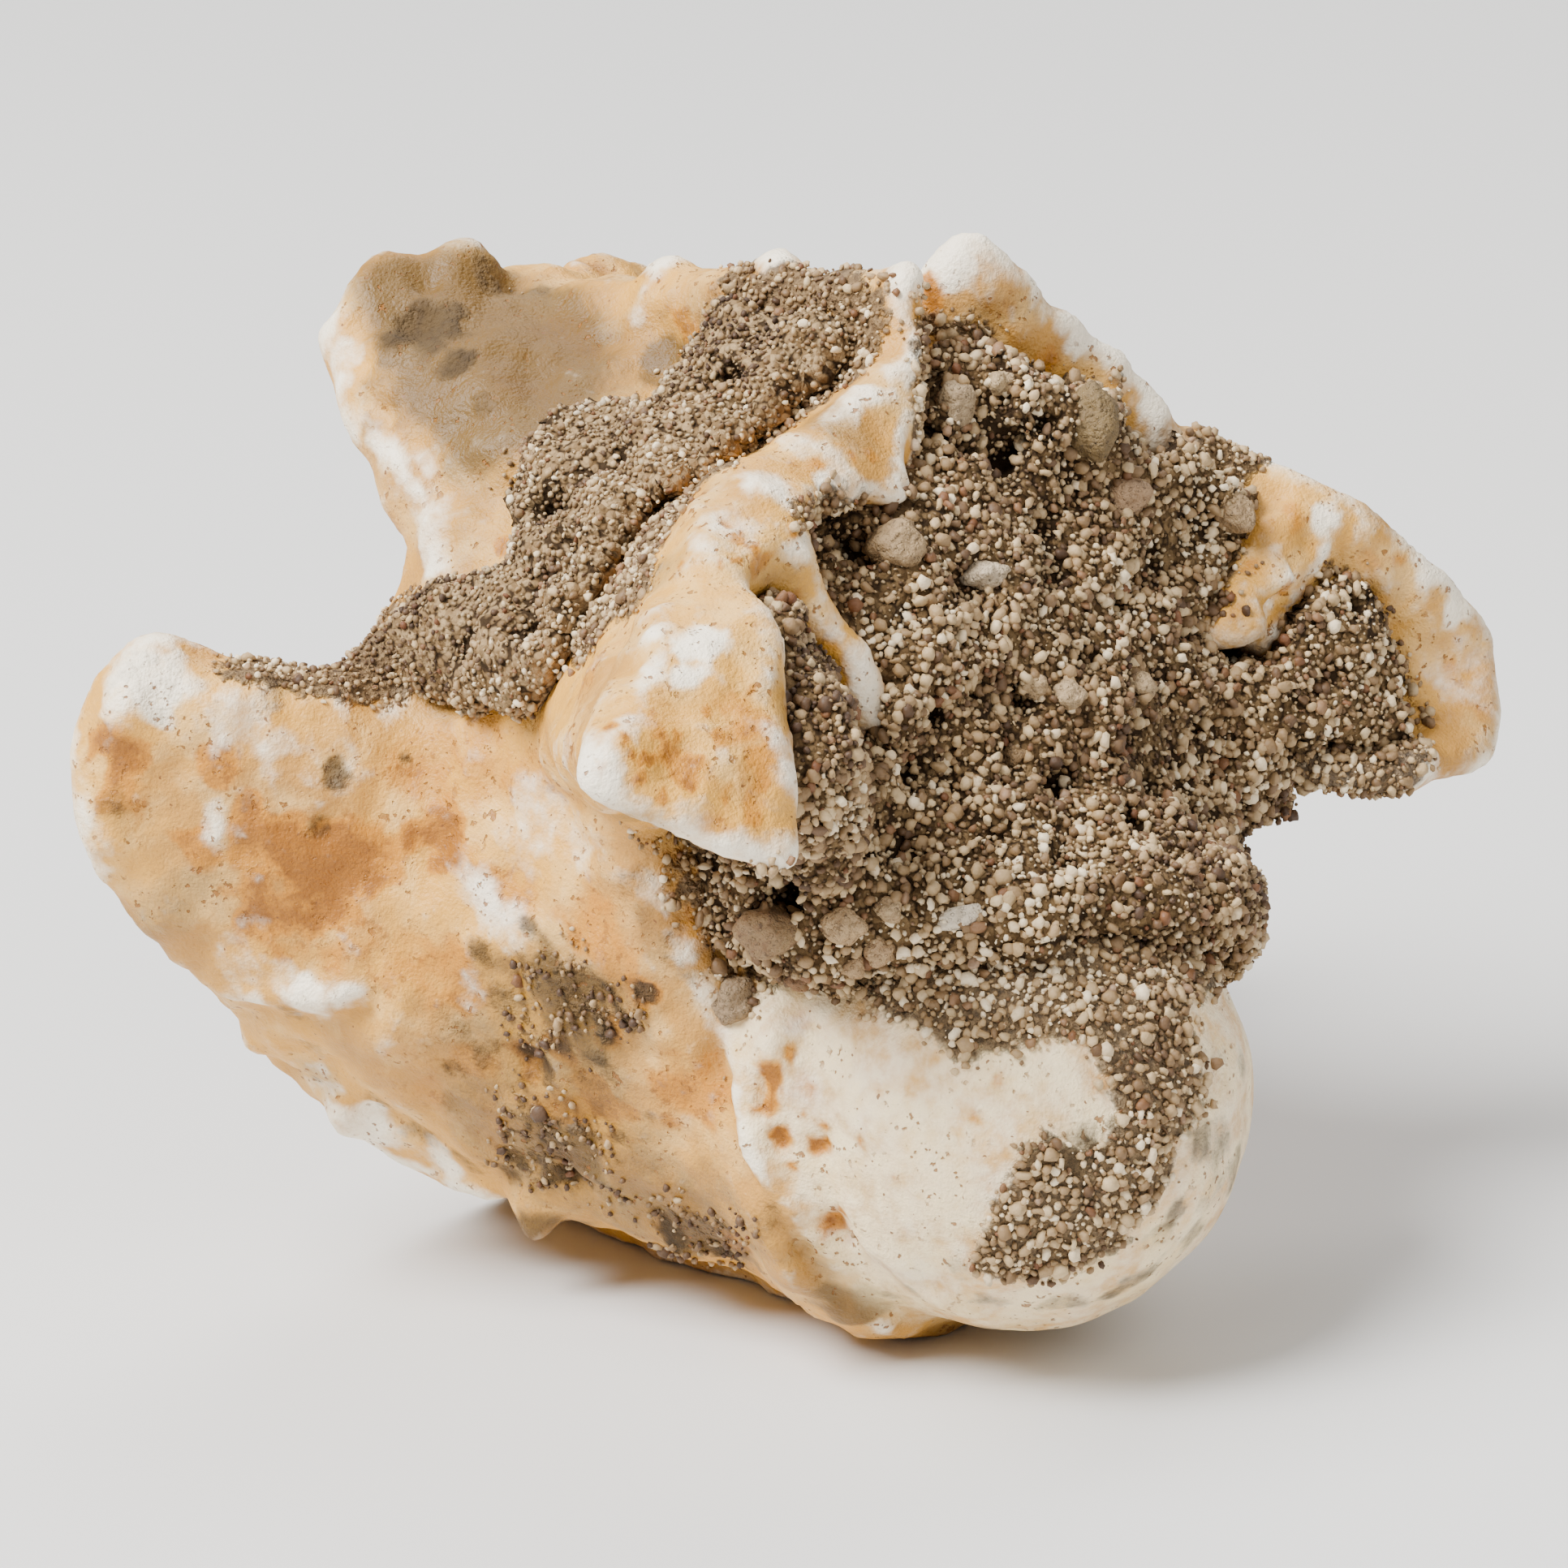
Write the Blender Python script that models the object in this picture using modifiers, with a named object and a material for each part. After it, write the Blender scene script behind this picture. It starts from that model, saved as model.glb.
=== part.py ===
"""A fossil sea snake vertebra, lying on its underside with its ball joint to the rear.

The bone is modelled upright in its own frame, in millimetres: X to the animal's right, Y forward, Z up
towards the back, with the middle of the condyle, the ball at the rear, at the origin. It is then turned
into the pose in which it rests and written in metres, with the origin under the middle of its box.
"""
import math

import bmesh
import bpy
from mathutils import Matrix, Vector

# Driving dimensions, in millimetres
CONDYLE_RADIUS = 4.35
RIM_RADIUS = 4.95
BEAD_RADIUS = 5.25
BEAD_SQUASH = 0.945
COTYLE_RIM_RADIUS = 4.9
COTYLE_HEIGHT = 0.7
SOCKET_RADIUS = 4.6
SOCKET_DEPTH = 2.8
CENTRUM_LENGTH = 13.4
WAIST_HALF_WIDTH = 3.9
CANAL_RADIUS = 1.9
CANAL_HEIGHT = 7.6
CANAL_MOUTH_DEPTH = 1.5
WALL = 0.42
SAND_GAP = 0.42
WORN_FLAT_DEPTH = 0.22

# The pose at rest: the left side is up, and the front is a little lower than the rear
REST_ROLL = math.radians(9.8)
REST_PITCH = math.radians(-3.9)

# Fineness of the fused forms, in millimetres, and the share of their faces that is kept
FINE_VOXEL = 0.26
BONE_KEEP = 0.105
SAND_KEEP = 0.12
BONE_BUMP = 0.3
BONE_BUMP_SIZE = 1.2
SAND_BUMP = 0.5
SAND_BUMP_SIZE = 0.9

MM = 0.001


def ring(y, radius, thickness, middle=0.0, squash=1.0, count=16):
    """Balls round a circle across the bone's axis, which wrap to a disc with a rounded rim."""
    turns = (2 * math.pi * step / count for step in range(count))
    reach = radius - thickness
    return [
        (reach * math.cos(turn), y, middle + squash * reach * math.sin(turn), thickness)
        for turn in turns
    ]


def links(balls):
    """One lump for each pair of neighbours, which makes a bent ridge or lip."""
    return [[first, second] for first, second in zip(balls, balls[1:])]


def fan(edge, *roots):
    """A bent plate: each stretch of the edge is joined to the same root balls."""
    return [[first, second, *roots] for first, second in zip(edge, edge[1:])]


def mirrored(balls):
    return [(-x, y, z, radius) for x, y, z, radius in balls]


def centrum():
    """The spool of bone from the condyle's rim to the cotyle, with the keel under it."""
    waist = ring(6.6, WAIST_HALF_WIDTH, 0.9, middle=0.1)
    front = ring(CENTRUM_LENGTH - 0.7, COTYLE_RIM_RADIUS, 0.7, middle=COTYLE_HEIGHT)
    behind_front = ring(CENTRUM_LENGTH - 3.4, COTYLE_RIM_RADIUS - 0.7, 0.8, middle=COTYLE_HEIGHT)
    rim = ring(2.3, RIM_RADIUS, 0.5)
    keel_rear = [(0.0, 2.3, -4.35, 0.75), (0.0, 4.2, -4.1, 0.7), (0.0, 3.0, -2.0, 1.5)]
    keel_front = [
        (0.0, 4.2, -4.1, 0.7), (-0.2, 8.0, -4.05, 0.65), (0.0, 11.6, -3.5, 0.8), (0.0, 8.0, -2.0, 1.6),
    ]
    return [rim + waist, waist + behind_front, behind_front + front, keel_rear, keel_front]


def condyle():
    """The ball, on a bead of bone that stands out round its base."""
    bead = ring(1.75, BEAD_RADIUS, 0.36, squash=BEAD_SQUASH)
    neck = [
        (0.0, 0.5, 0.0, CONDYLE_RADIUS - 0.15),
    ] + ring(1.75, BEAD_RADIUS - 0.6, 0.3, squash=BEAD_SQUASH)
    return [[(0.0, 0.0, 0.0, CONDYLE_RADIUS)], neck] + links(bead + bead[:1])


def synapophysis():
    """The left rib facet, a blunt knob low on the front corner, with the ledge that runs back from it."""
    knob = [
        (-5.8, 12.6, -0.1, 1.1), (-4.8, 12.0, -0.9, 1.2), (-4.0, 11.2, -1.6, 1.3),
        (-5.8, 9.4, 0.6, 1.3), (-3.0, 10.0, -0.6, 1.6),
    ]
    ledge = [
        (-5.8, 12.6, -0.1, 1.1), (-7.0, 12.2, 1.0, 1.1), (-8.1, 12.3, 2.0, 1.1), (-6.0, 9.6, 2.6, 1.6),
        (-5.8, 9.4, 0.6, 1.3),
    ]
    under = [
        (-4.0, 11.2, -1.6, 1.3), (-3.2, 9.5, -2.1, 1.2), (-2.8, 7.3, -2.0, 1.2), (-2.2, 5.2, -2.7, 1.2),
        (-4.4, 8.6, -0.2, 1.4), (-2.0, 8.0, -0.6, 1.6),
    ]
    return [knob, ledge, under]


def prezygapophysis():
    """The left front wing, from the flank out to its blunt, raised tip."""
    edge = [
        (-7.0, 12.2, 1.0, 1.1), (-8.1, 12.4, 2.0, 1.1), (-9.3, 12.8, 2.9, 1.0),
        (-10.1, 13.0, 4.0, 0.95), (-10.5, 13.0, 5.3, 0.9), (-10.3, 12.3, 6.75, 0.9),
    ]
    top = [
        (-10.3, 12.3, 6.75, 0.9), (-8.8, 10.9, 6.25, 0.8), (-7.4, 10.4, 6.2, 0.85),
        (-6.2, 10.1, 6.9, 0.85), (-5.2, 9.8, 7.8, 0.8),
    ]
    inner = [
        (-5.4, 10.4, 6.4, 1.2), (-4.6, 11.2, 7.2, 0.9), (-3.9, 12.3, 5.2, 0.9), (-6.4, 10.6, 4.4, 1.6),
    ]
    outer = fan(edge, (-6.4, 10.2, 3.4, 1.6), (-7.6, 10.6, 4.8, 1.3))
    return outer + fan(top, (-6.0, 9.8, 4.8, 1.6)) + [inner]


def flank():
    """The left wall of the arch, drawn in at its waist between the front and rear wings."""
    front = [
        (-6.0, 9.8, 3.0, 1.6), (-5.4, 9.6, 5.6, 1.5), (-3.6, 11.6, 5.6, 1.0), (-3.2, 11.0, 2.0, 1.6),
        (-4.6, 6.4, 1.6, 1.5),
    ]
    middle = [
        (-5.4, 9.6, 5.6, 1.5), (-4.9, 6.0, 6.0, 1.4), (-5.0, 3.8, 2.2, 1.1), (-5.4, 8.6, 3.0, 1.6),
        (-3.0, 6.0, 3.4, 1.6),
    ]
    rear = [
        (-4.9, 6.0, 6.0, 1.4), (-5.0, 3.5, 2.2, 1.0), (-5.6, 3.9, 4.0, 0.95), (-5.7, 3.9, 5.6, 0.9),
        (-3.4, 5.4, 2.6, 1.4),
    ]
    low = [
        (-3.9, 3.8, 0.4, 0.9), (-5.0, 3.5, 2.2, 1.0), (-5.4, 8.6, 2.2, 1.4), (-4.6, 8.6, -0.2, 1.4),
        (-3.4, 3.9, -1.6, 0.9), (-3.2, 8.0, -1.7, 1.2), (-2.0, 5.0, 0.0, 1.0),
    ]
    upper = [(-5.0, 9.4, 6.2, 1.2), (-4.6, 5.0, 7.0, 1.2), (-4.0, 9.4, 8.0, 0.9), (-4.2, 5.4, 8.6, 0.9)]
    return [front, middle, rear, low, upper]


def roof():
    """Half of the arch's roof, from the spine down to the shoulder."""
    slab = [
        (-0.4, 4.0, 12.0, 1.0), (-4.4, 4.4, 9.6, 0.9), (-3.9, 9.6, 8.2, 1.0), (-0.4, 10.4, 11.6, 1.1),
        (-2.0, 7.0, 9.4, 1.0),
    ]
    return [slab]


def left_rear_edge():
    """The thick, broken rear edge of the roof's left half, and the spine's edge rising from it."""
    bar = [
        (-0.6, 3.1, 14.35, 0.4), (-0.6, 2.8, 12.8, 0.45), (-1.3, 2.3, 11.4, 0.45),
        (-0.3, 4.4, 13.2, 0.6), (-0.8, 4.4, 11.6, 0.6),
    ]
    inner = [
        (-1.0, 2.85, 12.6, 0.4), (-2.0, 2.7, 12.1, 0.5), (-1.6, 2.2, 11.3, 0.4),
        (-2.8, 2.0, 11.15, 0.4), (-2.0, 4.0, 11.4, 0.6),
    ]
    outer = [
        (-2.0, 2.7, 12.1, 0.5), (-4.3, 2.4, 11.15, 0.55), (-2.8, 2.0, 11.15, 0.4),
        (-4.2, 1.7, 10.9, 0.4), (-3.2, 4.0, 10.6, 0.7),
    ]
    shoulder = [
        (-4.3, 2.4, 11.15, 0.55), (-5.9, 2.1, 10.65, 0.6), (-4.2, 1.7, 10.9, 0.4),
        (-5.6, 1.2, 10.4, 0.5), (-4.8, 4.0, 9.8, 0.8),
    ]
    return [bar, inner, outer, shoulder]


def right_rear_edge():
    """The right half of the roof's rear edge, whose inner corner is the highest point of the bone."""
    edge = [
        (1.2, 3.1, 14.85, 0.42), (2.2, 2.9, 14.1, 0.48), (3.0, 2.8, 13.3, 0.5), (4.3, 2.7, 12.75, 0.45),
        (5.7, 2.4, 11.45, 0.5), (7.2, 1.7, 10.9, 0.55),
    ]
    return fan(edge, (1.0, 3.9, 12.6, 0.6), (2.6, 4.6, 12.0, 0.7), (4.6, 4.4, 10.2, 0.8))


def left_wing():
    """The left rear wing, a bent plate that runs out and down, broken off along its lower edge."""
    shoulder = [
        (-5.9, 2.1, 10.6, 0.65), (-5.6, 1.1, 10.3, 0.5), (-7.6, 0.9, 9.25, 0.65), (-6.6, 3.2, 8.4, 1.0),
        (-4.6, 4.8, 8.8, 1.0),
    ]
    plate = [
        (-8.0, 1.2, 9.0, 0.55), (-7.4, -0.3, 9.15, 0.45), (-11.7, -0.7, 6.75, 0.4),
        (-8.8, -2.35, 5.4, 0.45), (-9.0, 0.9, 7.4, 0.6),
    ]
    root = [
        (-9.0, 0.9, 7.4, 0.6), (-10.6, 0.2, 6.8, 0.45), (-5.4, 5.6, 6.2, 1.2), (-5.0, 4.8, 8.4, 1.0),
        (-6.6, 3.2, 5.6, 0.8),
    ]
    return [shoulder, plate, root]


def right_wing():
    """The right rear wing, a scoop with a thick rounded lip, open to the rear."""
    lip = [
        (7.2, 1.7, 10.9, 0.55), (7.9, 0.6, 10.45, 0.5), (8.4, 0.1, 10.2, 0.5), (9.6, -0.3, 9.35, 0.5),
        (10.7, -0.6, 8.5, 0.5), (11.7, -0.8, 7.6, 0.5), (11.8, -1.0, 6.6, 0.5), (11.1, -1.3, 5.7, 0.5),
        (9.6, -1.6, 5.5, 0.45), (8.5, -1.6, 5.35, 0.45), (7.6, -0.8, 5.5, 0.5),
    ]
    upper_hollow = fan(lip[:8], (7.0, 3.0, 8.0, 0.7), (6.4, 3.6, 6.2, 0.8))
    lower_hollow = fan(lip[6:], (6.6, 3.2, 5.6, 0.7))
    return links(lip) + upper_hollow + lower_hollow


def inner_walls():
    """The thin walls that part the middle of the rear hollow from its side pockets."""
    left = [
        (-5.7, 0.9, 10.1, WALL), (-3.5, 0.35, 6.95, WALL), (-4.6, 4.6, 9.4, WALL),
        (-3.8, 4.6, 6.6, WALL),
    ]
    right = [
        (8.0, 0.3, 10.1, WALL), (5.6, 0.2, 8.1, WALL), (5.6, 4.4, 9.4, WALL), (4.8, 4.4, 7.4, WALL),
    ]
    return [left, right]


def spine():
    """The low, broken neural spine along the middle of the roof."""
    blade_rear = [
        (-0.6, 3.7, 14.2, 0.45), (-0.2, 3.8, 10.9, 0.6), (-0.1, 9.6, 13.4, 0.95), (0.0, 9.0, 10.6, 1.2),
    ]
    blade_front = [
        (-0.1, 9.0, 13.3, 0.95), (0.0, 13.2, 13.0, 0.95), (0.0, 13.0, 11.2, 1.2), (0.0, 9.0, 10.6, 1.2),
    ]
    knobs = [
        [(-0.2, 4.6, 14.3, 0.45)], [(-0.2, 6.4, 14.0, 0.75)], [(-0.2, 7.9, 13.8, 0.7)],
        [(-0.2, 9.3, 13.7, 0.72)], [(-0.2, 11.4, 13.1, 0.65)], [(-0.2, 13.4, 13.4, 0.8)],
    ]
    return [blade_rear, blade_front] + knobs


def zygosphene():
    """Left half of the wedge over the front of the canal, with its steep side facet."""
    block = [
        (-4.0, 14.3, 12.55, 0.6), (-3.5, 14.0, 13.3, 0.5), (0.0, 13.8, 12.6, 0.8),
        (-4.4, 11.0, 9.2, 0.7), (-2.6, 12.4, 9.6, 0.7), (0.0, 9.4, 11.6, 1.2), (-3.3, 9.4, 10.6, 1.0),
    ]
    top = [
        (-3.4, 14.0, 13.45, 0.6), (-2.7, 13.8, 13.65, 0.65), (-1.7, 13.4, 13.75, 0.65),
        (-0.6, 12.8, 13.0, 0.7),
    ]
    foot = [
        (-4.4, 11.0, 9.2, 0.7), (-4.5, 10.6, 7.4, 0.8), (-4.2, 8.6, 8.8, 0.9), (-4.6, 8.4, 7.0, 1.2),
    ]
    return [block, foot] + links(top)


def front_bridge():
    """The bone round the front mouth of the canal and behind it."""
    floor = [(-3.9, 12.3, 5.2, 0.9), (3.9, 12.3, 5.2, 0.9), (-3.6, 8.0, 4.2, 1.2), (3.6, 8.0, 4.2, 1.2)]
    back = [
        (-3.4, 9.6, 8.0, 1.3), (3.4, 9.6, 8.0, 1.3), (-3.4, 6.4, 5.4, 1.4), (3.4, 6.4, 5.4, 1.4),
        (-2.6, 6.6, 9.2, 1.2), (2.6, 6.6, 9.2, 1.2), (0.0, 10.6, 6.2, 1.0),
    ]
    return [floor, back]


def right_foot():
    """The whole right rib facet, which reaches lower than the broken left one and props the bone up."""
    knob = [(6.3, 11.2, -2.15, 1.15), (5.2, 12.2, -1.2, 1.1), (4.6, 9.6, -0.8, 1.5), (6.6, 10.6, 0.4, 1.3)]
    return [knob]


def splinter():
    """The small spike of bone under the left rib facet."""
    spike = [(-2.7, 9.6, -3.1, 0.5), (-2.55, 9.9, -3.75, 0.26)]
    return [spike]


def bone_lumps():
    left_half = synapophysis() + prezygapophysis() + flank() + roof() + zygosphene()
    both = [side for lump in left_half for side in (lump, mirrored(lump))]
    rear = left_rear_edge() + right_rear_edge() + left_wing() + right_wing() + inner_walls()
    return centrum() + condyle() + both + rear + spine() + front_bridge() + right_foot() + splinter()


def rear_sand_lumps():
    """The cemented sand that fills the hollow between the wings, over the condyle."""
    middle = [
        (-4.2, 1.2, 4.6, 1.3), (5.2, 0.8, 4.3, 1.4), (-3.0, 1.6, 8.6, 1.0), (4.8, 1.6, 8.8, 1.2),
        (0.8, 0.2, 6.2, 1.3), (0.4, 2.4, 11.0, 0.9), (4.4, 2.5, 10.9, 0.8), (0.5, 5.0, 7.0, 1.6),
    ]
    top = [
        (0.0, 2.7, 11.0, 0.9), (4.4, 2.5, 10.9, 0.8), (0.3, 3.1, 13.4, 0.5), (1.6, 3.0, 13.0, 0.5),
        (3.0, 2.8, 12.2, 0.6),
    ]
    left_pocket = [
        (-6.4, 0.5, 8.8, 0.6), (-7.3, -1.4, 6.2, 0.7), (-5.0, 1.4, 6.0, 1.2), (-6.4, 1.8, 6.4, 1.0),
        (-5.0, 0.2, 5.0, 0.9),
    ]
    right_pocket = [
        (8.0, 0.6, 9.0, 0.8), (9.9, -0.4, 7.6, 0.8), (9.0, -1.0, 6.5, 0.7), (5.6, 0.8, 6.4, 1.4),
        (6.6, 1.8, 8.6, 1.0), (7.0, 0.0, 5.2, 0.9),
    ]
    over_condyle = [
        (-4.0, 0.2, 3.9, 0.9), (-2.4, -2.0, 3.8, 0.7), (0.6, -2.9, 3.8, 0.7), (3.2, -2.2, 3.4, 0.8),
        (4.8, 0.4, 3.1, 1.1), (0.4, 1.2, 5.4, 1.3),
    ]
    left_foot = [
        (-4.0, 0.2, 3.9, 0.9), (-4.9, 0.9, 3.2, 0.8), (-4.4, 2.0, 4.6, 1.2), (-5.2, 1.4, 4.6, 0.8),
    ]
    right_foot = [
        (4.8, 0.4, 3.1, 1.1), (5.0, 0.6, 4.6, 1.2), (5.3, 1.2, 2.0, 0.7), (4.8, 2.6, 4.0, 1.0),
    ]
    under_right_edge = [
        (1.0, 1.6, 12.8, 0.45), (3.2, 1.4, 12.0, 0.55), (5.2, 1.2, 11.0, 0.55), (6.6, 0.9, 10.3, 0.5),
        (5.4, 1.8, 9.2, 0.9), (1.6, 2.2, 11.2, 0.8),
    ]
    feet = [left_foot, right_foot]
    return [middle, top, left_pocket, right_pocket, over_condyle, under_right_edge] + feet


def left_sand_lumps():
    """The sand that lies in the trough between the spine and the left rear wing."""
    upper = [
        (-1.0, 4.4, 13.7, 0.55), (-1.1, 8.6, 13.3, 0.55), (-3.9, 4.6, 11.0, 0.8),
        (-4.1, 8.4, 10.4, 0.9),
    ]
    middle = [
        (-3.9, 4.6, 11.0, 0.8), (-4.1, 8.4, 10.4, 0.9), (-5.6, 4.4, 9.4, 0.8), (-5.4, 8.8, 8.8, 0.9),
    ]
    lower = [(-5.6, 4.4, 9.4, 0.8), (-5.4, 8.8, 8.8, 0.9), (-6.9, 4.6, 7.6, 0.7), (-6.3, 9.6, 7.2, 0.7)]
    front = [
        (-1.1, 8.6, 13.3, 0.55), (-1.7, 11.0, 13.2, 0.6), (-4.1, 8.4, 10.6, 0.9),
        (-4.4, 10.2, 10.8, 0.8),
    ]
    saddle = [
        (-5.4, 8.8, 8.8, 0.9), (-5.2, 10.2, 9.2, 0.8), (-6.2, 10.2, 7.6, 0.6), (-4.4, 10.2, 10.4, 0.7),
    ]
    return [upper, middle, lower, front, saddle]


def ball_directions(subdivisions):
    shape = bmesh.new()
    bmesh.ops.create_icosphere(shape, subdivisions=subdivisions, radius=1.0)
    directions = [vertex.co.copy() for vertex in shape.verts]
    shape.free()
    return directions


def wrapped(lumps, grow=0.0):
    """One mesh that holds, for each lump, the convex skin stretched over its balls."""
    coarse, fine = ball_directions(2), ball_directions(4)
    whole = bmesh.new()
    for lump in lumps:
        skin = bmesh.new()
        directions = fine if len(lump) == 1 else coarse
        for x, y, z, radius in lump:
            for direction in directions:
                skin.verts.new(Vector((x, y, z)) + direction * (radius + grow))
        vertices = set(skin.verts)
        hull = bmesh.ops.convex_hull(skin, input=skin.verts)
        spare = {item for item in hull["geom_interior"] + hull["geom_unused"] if item in vertices}
        bmesh.ops.delete(skin, geom=list(spare), context="VERTS")
        bmesh.ops.recalc_face_normals(skin, faces=skin.faces)
        mesh = bpy.data.meshes.new("lump")
        skin.to_mesh(mesh)
        skin.free()
        whole.from_mesh(mesh)
        bpy.data.meshes.remove(mesh)
    mesh = bpy.data.meshes.new("lumps")
    whole.to_mesh(mesh)
    whole.free()
    return mesh


def collection_named(name):
    collection = bpy.data.collections.new(name)
    bpy.context.scene.collection.children.link(collection)
    return collection


def object_in(collection, name, mesh):
    item = bpy.data.objects.new(name, mesh)
    collection.objects.link(item)
    return item


def add_remesh(item, voxel):
    remesh = item.modifiers.new("Fuse", "REMESH")
    remesh.mode = "VOXEL"
    remesh.voxel_size = voxel


def add_smooth(item, rounds):
    smooth = item.modifiers.new("Smooth", "SMOOTH")
    smooth.factor = 0.5
    smooth.iterations = rounds


def add_bumps(item, name, strength, size):
    clouds = bpy.data.textures.new(name, "CLOUDS")
    clouds.noise_scale = size
    clouds.noise_depth = 1
    bumps = item.modifiers.new("Bumps", "DISPLACE")
    bumps.texture = clouds
    bumps.texture_coords = "LOCAL"
    bumps.strength = strength
    bumps.mid_level = 0.5


def add_decimate(item, keep):
    decimate = item.modifiers.new("Thin out", "DECIMATE")
    decimate.ratio = keep


def add_cut(item, cutter):
    cut = item.modifiers.new("Cut", "BOOLEAN")
    cut.operation = "DIFFERENCE"
    cut.object = cutter


def settle(item):
    """Replaces the object's mesh with what its modifiers make of it."""
    graph = bpy.context.evaluated_depsgraph_get()
    mesh = bpy.data.meshes.new_from_object(item.evaluated_get(graph))
    old = item.data
    item.modifiers.clear()
    item.data = mesh
    bpy.data.meshes.remove(old)


def keep_largest(item):
    """Deletes every loose crumb but the largest body."""
    shape = bmesh.new()
    shape.from_mesh(item.data)
    left = set(shape.verts)
    bodies = []
    while left:
        body, front = set(), [left.pop()]
        while front:
            vertex = front.pop()
            body.add(vertex)
            for edge in vertex.link_edges:
                other = edge.other_vert(vertex)
                if other in left:
                    left.remove(other)
                    front.append(other)
        bodies.append(body)
    bodies.sort(key=len)
    crumbs = [vertex for body in bodies[:-1] for vertex in body]
    bmesh.ops.delete(shape, geom=crumbs, context="VERTS")
    shape.to_mesh(item.data)
    shape.free()


def material(name, colour, roughness):
    made = bpy.data.materials.new(name)
    made.use_nodes = True
    shader = made.node_tree.nodes["Principled BSDF"]
    shader.inputs["Base Color"].default_value = (*colour, 1.0)
    shader.inputs["Roughness"].default_value = roughness
    shader.inputs["Metallic"].default_value = 0.0
    made.diffuse_color = (*colour, 1.0)
    return made


def cutter(collection, name, mesh):
    item = object_in(collection, name, mesh)
    item.hide_render = True
    item.display_type = "WIRE"
    return item


def make_bone(parts, cutters):
    bone = object_in(parts, "vertebra", wrapped(bone_lumps()))
    ball_middle = CENTRUM_LENGTH - SOCKET_DEPTH + SOCKET_RADIUS
    socket_ball = [(0.0, ball_middle, COTYLE_HEIGHT, SOCKET_RADIUS)]
    socket = cutter(cutters, "socket_cutter", wrapped([socket_ball]))
    canal_start = CENTRUM_LENGTH - CANAL_MOUTH_DEPTH
    canal_rod = [
        (0.0, canal_start, CANAL_HEIGHT, CANAL_RADIUS),
        (0.0, canal_start + 2 * CANAL_RADIUS, CANAL_HEIGHT, CANAL_RADIUS),
    ]
    canal = cutter(cutters, "canal_cutter", wrapped([canal_rod]))
    add_remesh(bone, FINE_VOXEL)
    add_cut(bone, socket)
    add_cut(bone, canal)
    settle(bone)
    add_remesh(bone, FINE_VOXEL)
    add_smooth(bone, 2)
    add_bumps(bone, "bone bumps", BONE_BUMP, BONE_BUMP_SIZE)
    settle(bone)
    return bone


def make_sand(parts, name, lumps, grown_bone):
    sand = object_in(parts, name, wrapped(lumps))
    add_remesh(sand, FINE_VOXEL)
    add_bumps(sand, name + " bumps", SAND_BUMP, SAND_BUMP_SIZE)
    add_cut(sand, grown_bone)
    settle(sand)
    keep_largest(sand)
    add_remesh(sand, FINE_VOXEL)
    add_smooth(sand, 2)
    settle(sand)
    keep_largest(sand)
    return sand


def lay_down(items):
    """Turns the upright model into its resting pose, over the middle of its box, in metres."""
    turn = Matrix.Rotation(REST_ROLL, 4, "Y") @ Matrix.Rotation(REST_PITCH, 4, "X")
    for item in items:
        item.data.transform(turn)
    points = [vertex.co for item in items for vertex in item.data.vertices]
    low = Vector([min(point[axis] for point in points) for axis in range(3)])
    high = Vector([max(point[axis] for point in points) for axis in range(3)])
    middle = (low + high) / 2
    floor = low.z + WORN_FLAT_DEPTH
    shift = Matrix.Translation((-middle.x, -middle.y, -floor))
    for item in items:
        item.data.transform(Matrix.Scale(MM, 4) @ shift)
    return shift @ turn


def mark_upright_frame(parts, laid):
    """An empty at the condyle's middle, turned as the bone's own upright frame."""
    marker = object_in(parts, "upright_frame", None)
    marker.location = laid.translation * MM
    marker.rotation_euler = laid.to_euler()


def wear_flat(item):
    """Planes off what reaches below the floor, which leaves the small flats that the bone rests on."""
    shape = bmesh.new()
    shape.from_mesh(item.data)
    everything = shape.verts[:] + shape.edges[:] + shape.faces[:]
    bmesh.ops.bisect_plane(
        shape, geom=everything, plane_co=(0, 0, 0), plane_no=(0, 0, 1), clear_inner=True
    )
    open_edges = [edge for edge in shape.edges if edge.is_boundary]
    bmesh.ops.holes_fill(shape, edges=open_edges, sides=0)
    bmesh.ops.triangulate(shape, faces=shape.faces)
    bmesh.ops.recalc_face_normals(shape, faces=shape.faces)
    shape.to_mesh(item.data)
    shape.free()


def main():
    for item in list(bpy.data.objects):
        bpy.data.objects.remove(item)
    parts = collection_named("palaeophis_vertebra")
    cutters = collection_named("cutters")
    cutters.hide_render = True
    bone = make_bone(parts, cutters)
    grown = cutter(cutters, "grown_bone", wrapped(bone_lumps(), grow=SAND_GAP))
    add_remesh(grown, FINE_VOXEL)
    settle(grown)
    rear_sand = make_sand(parts, "rear_sand_fill", rear_sand_lumps(), grown)
    left_sand = make_sand(parts, "left_side_sand", left_sand_lumps(), grown)
    for item, keep in ((bone, BONE_KEEP), (rear_sand, SAND_KEEP), (left_sand, SAND_KEEP)):
        add_decimate(item, keep)
        settle(item)
    laid = lay_down([bone, rear_sand, left_sand])
    mark_upright_frame(parts, laid)
    wear_flat(bone)
    finishes = (
        (bone, "fossil bone", (0.72, 0.55, 0.36), 0.6),
        (rear_sand, "cemented sand", (0.36, 0.26, 0.16), 0.85),
        (left_sand, "clinging sand", (0.38, 0.28, 0.18), 0.85),
    )
    for item, name, colour, roughness in finishes:
        item.data.materials.append(material(name, colour, roughness))
        item.data.shade_smooth()


main()
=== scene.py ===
import math

import bmesh
import bpy
import numpy as np
from bpy.props import FloatProperty, FloatVectorProperty, IntProperty, PointerProperty
from mathutils import Matrix, Vector, noise
from mathutils.bvhtree import BVHTree


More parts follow.
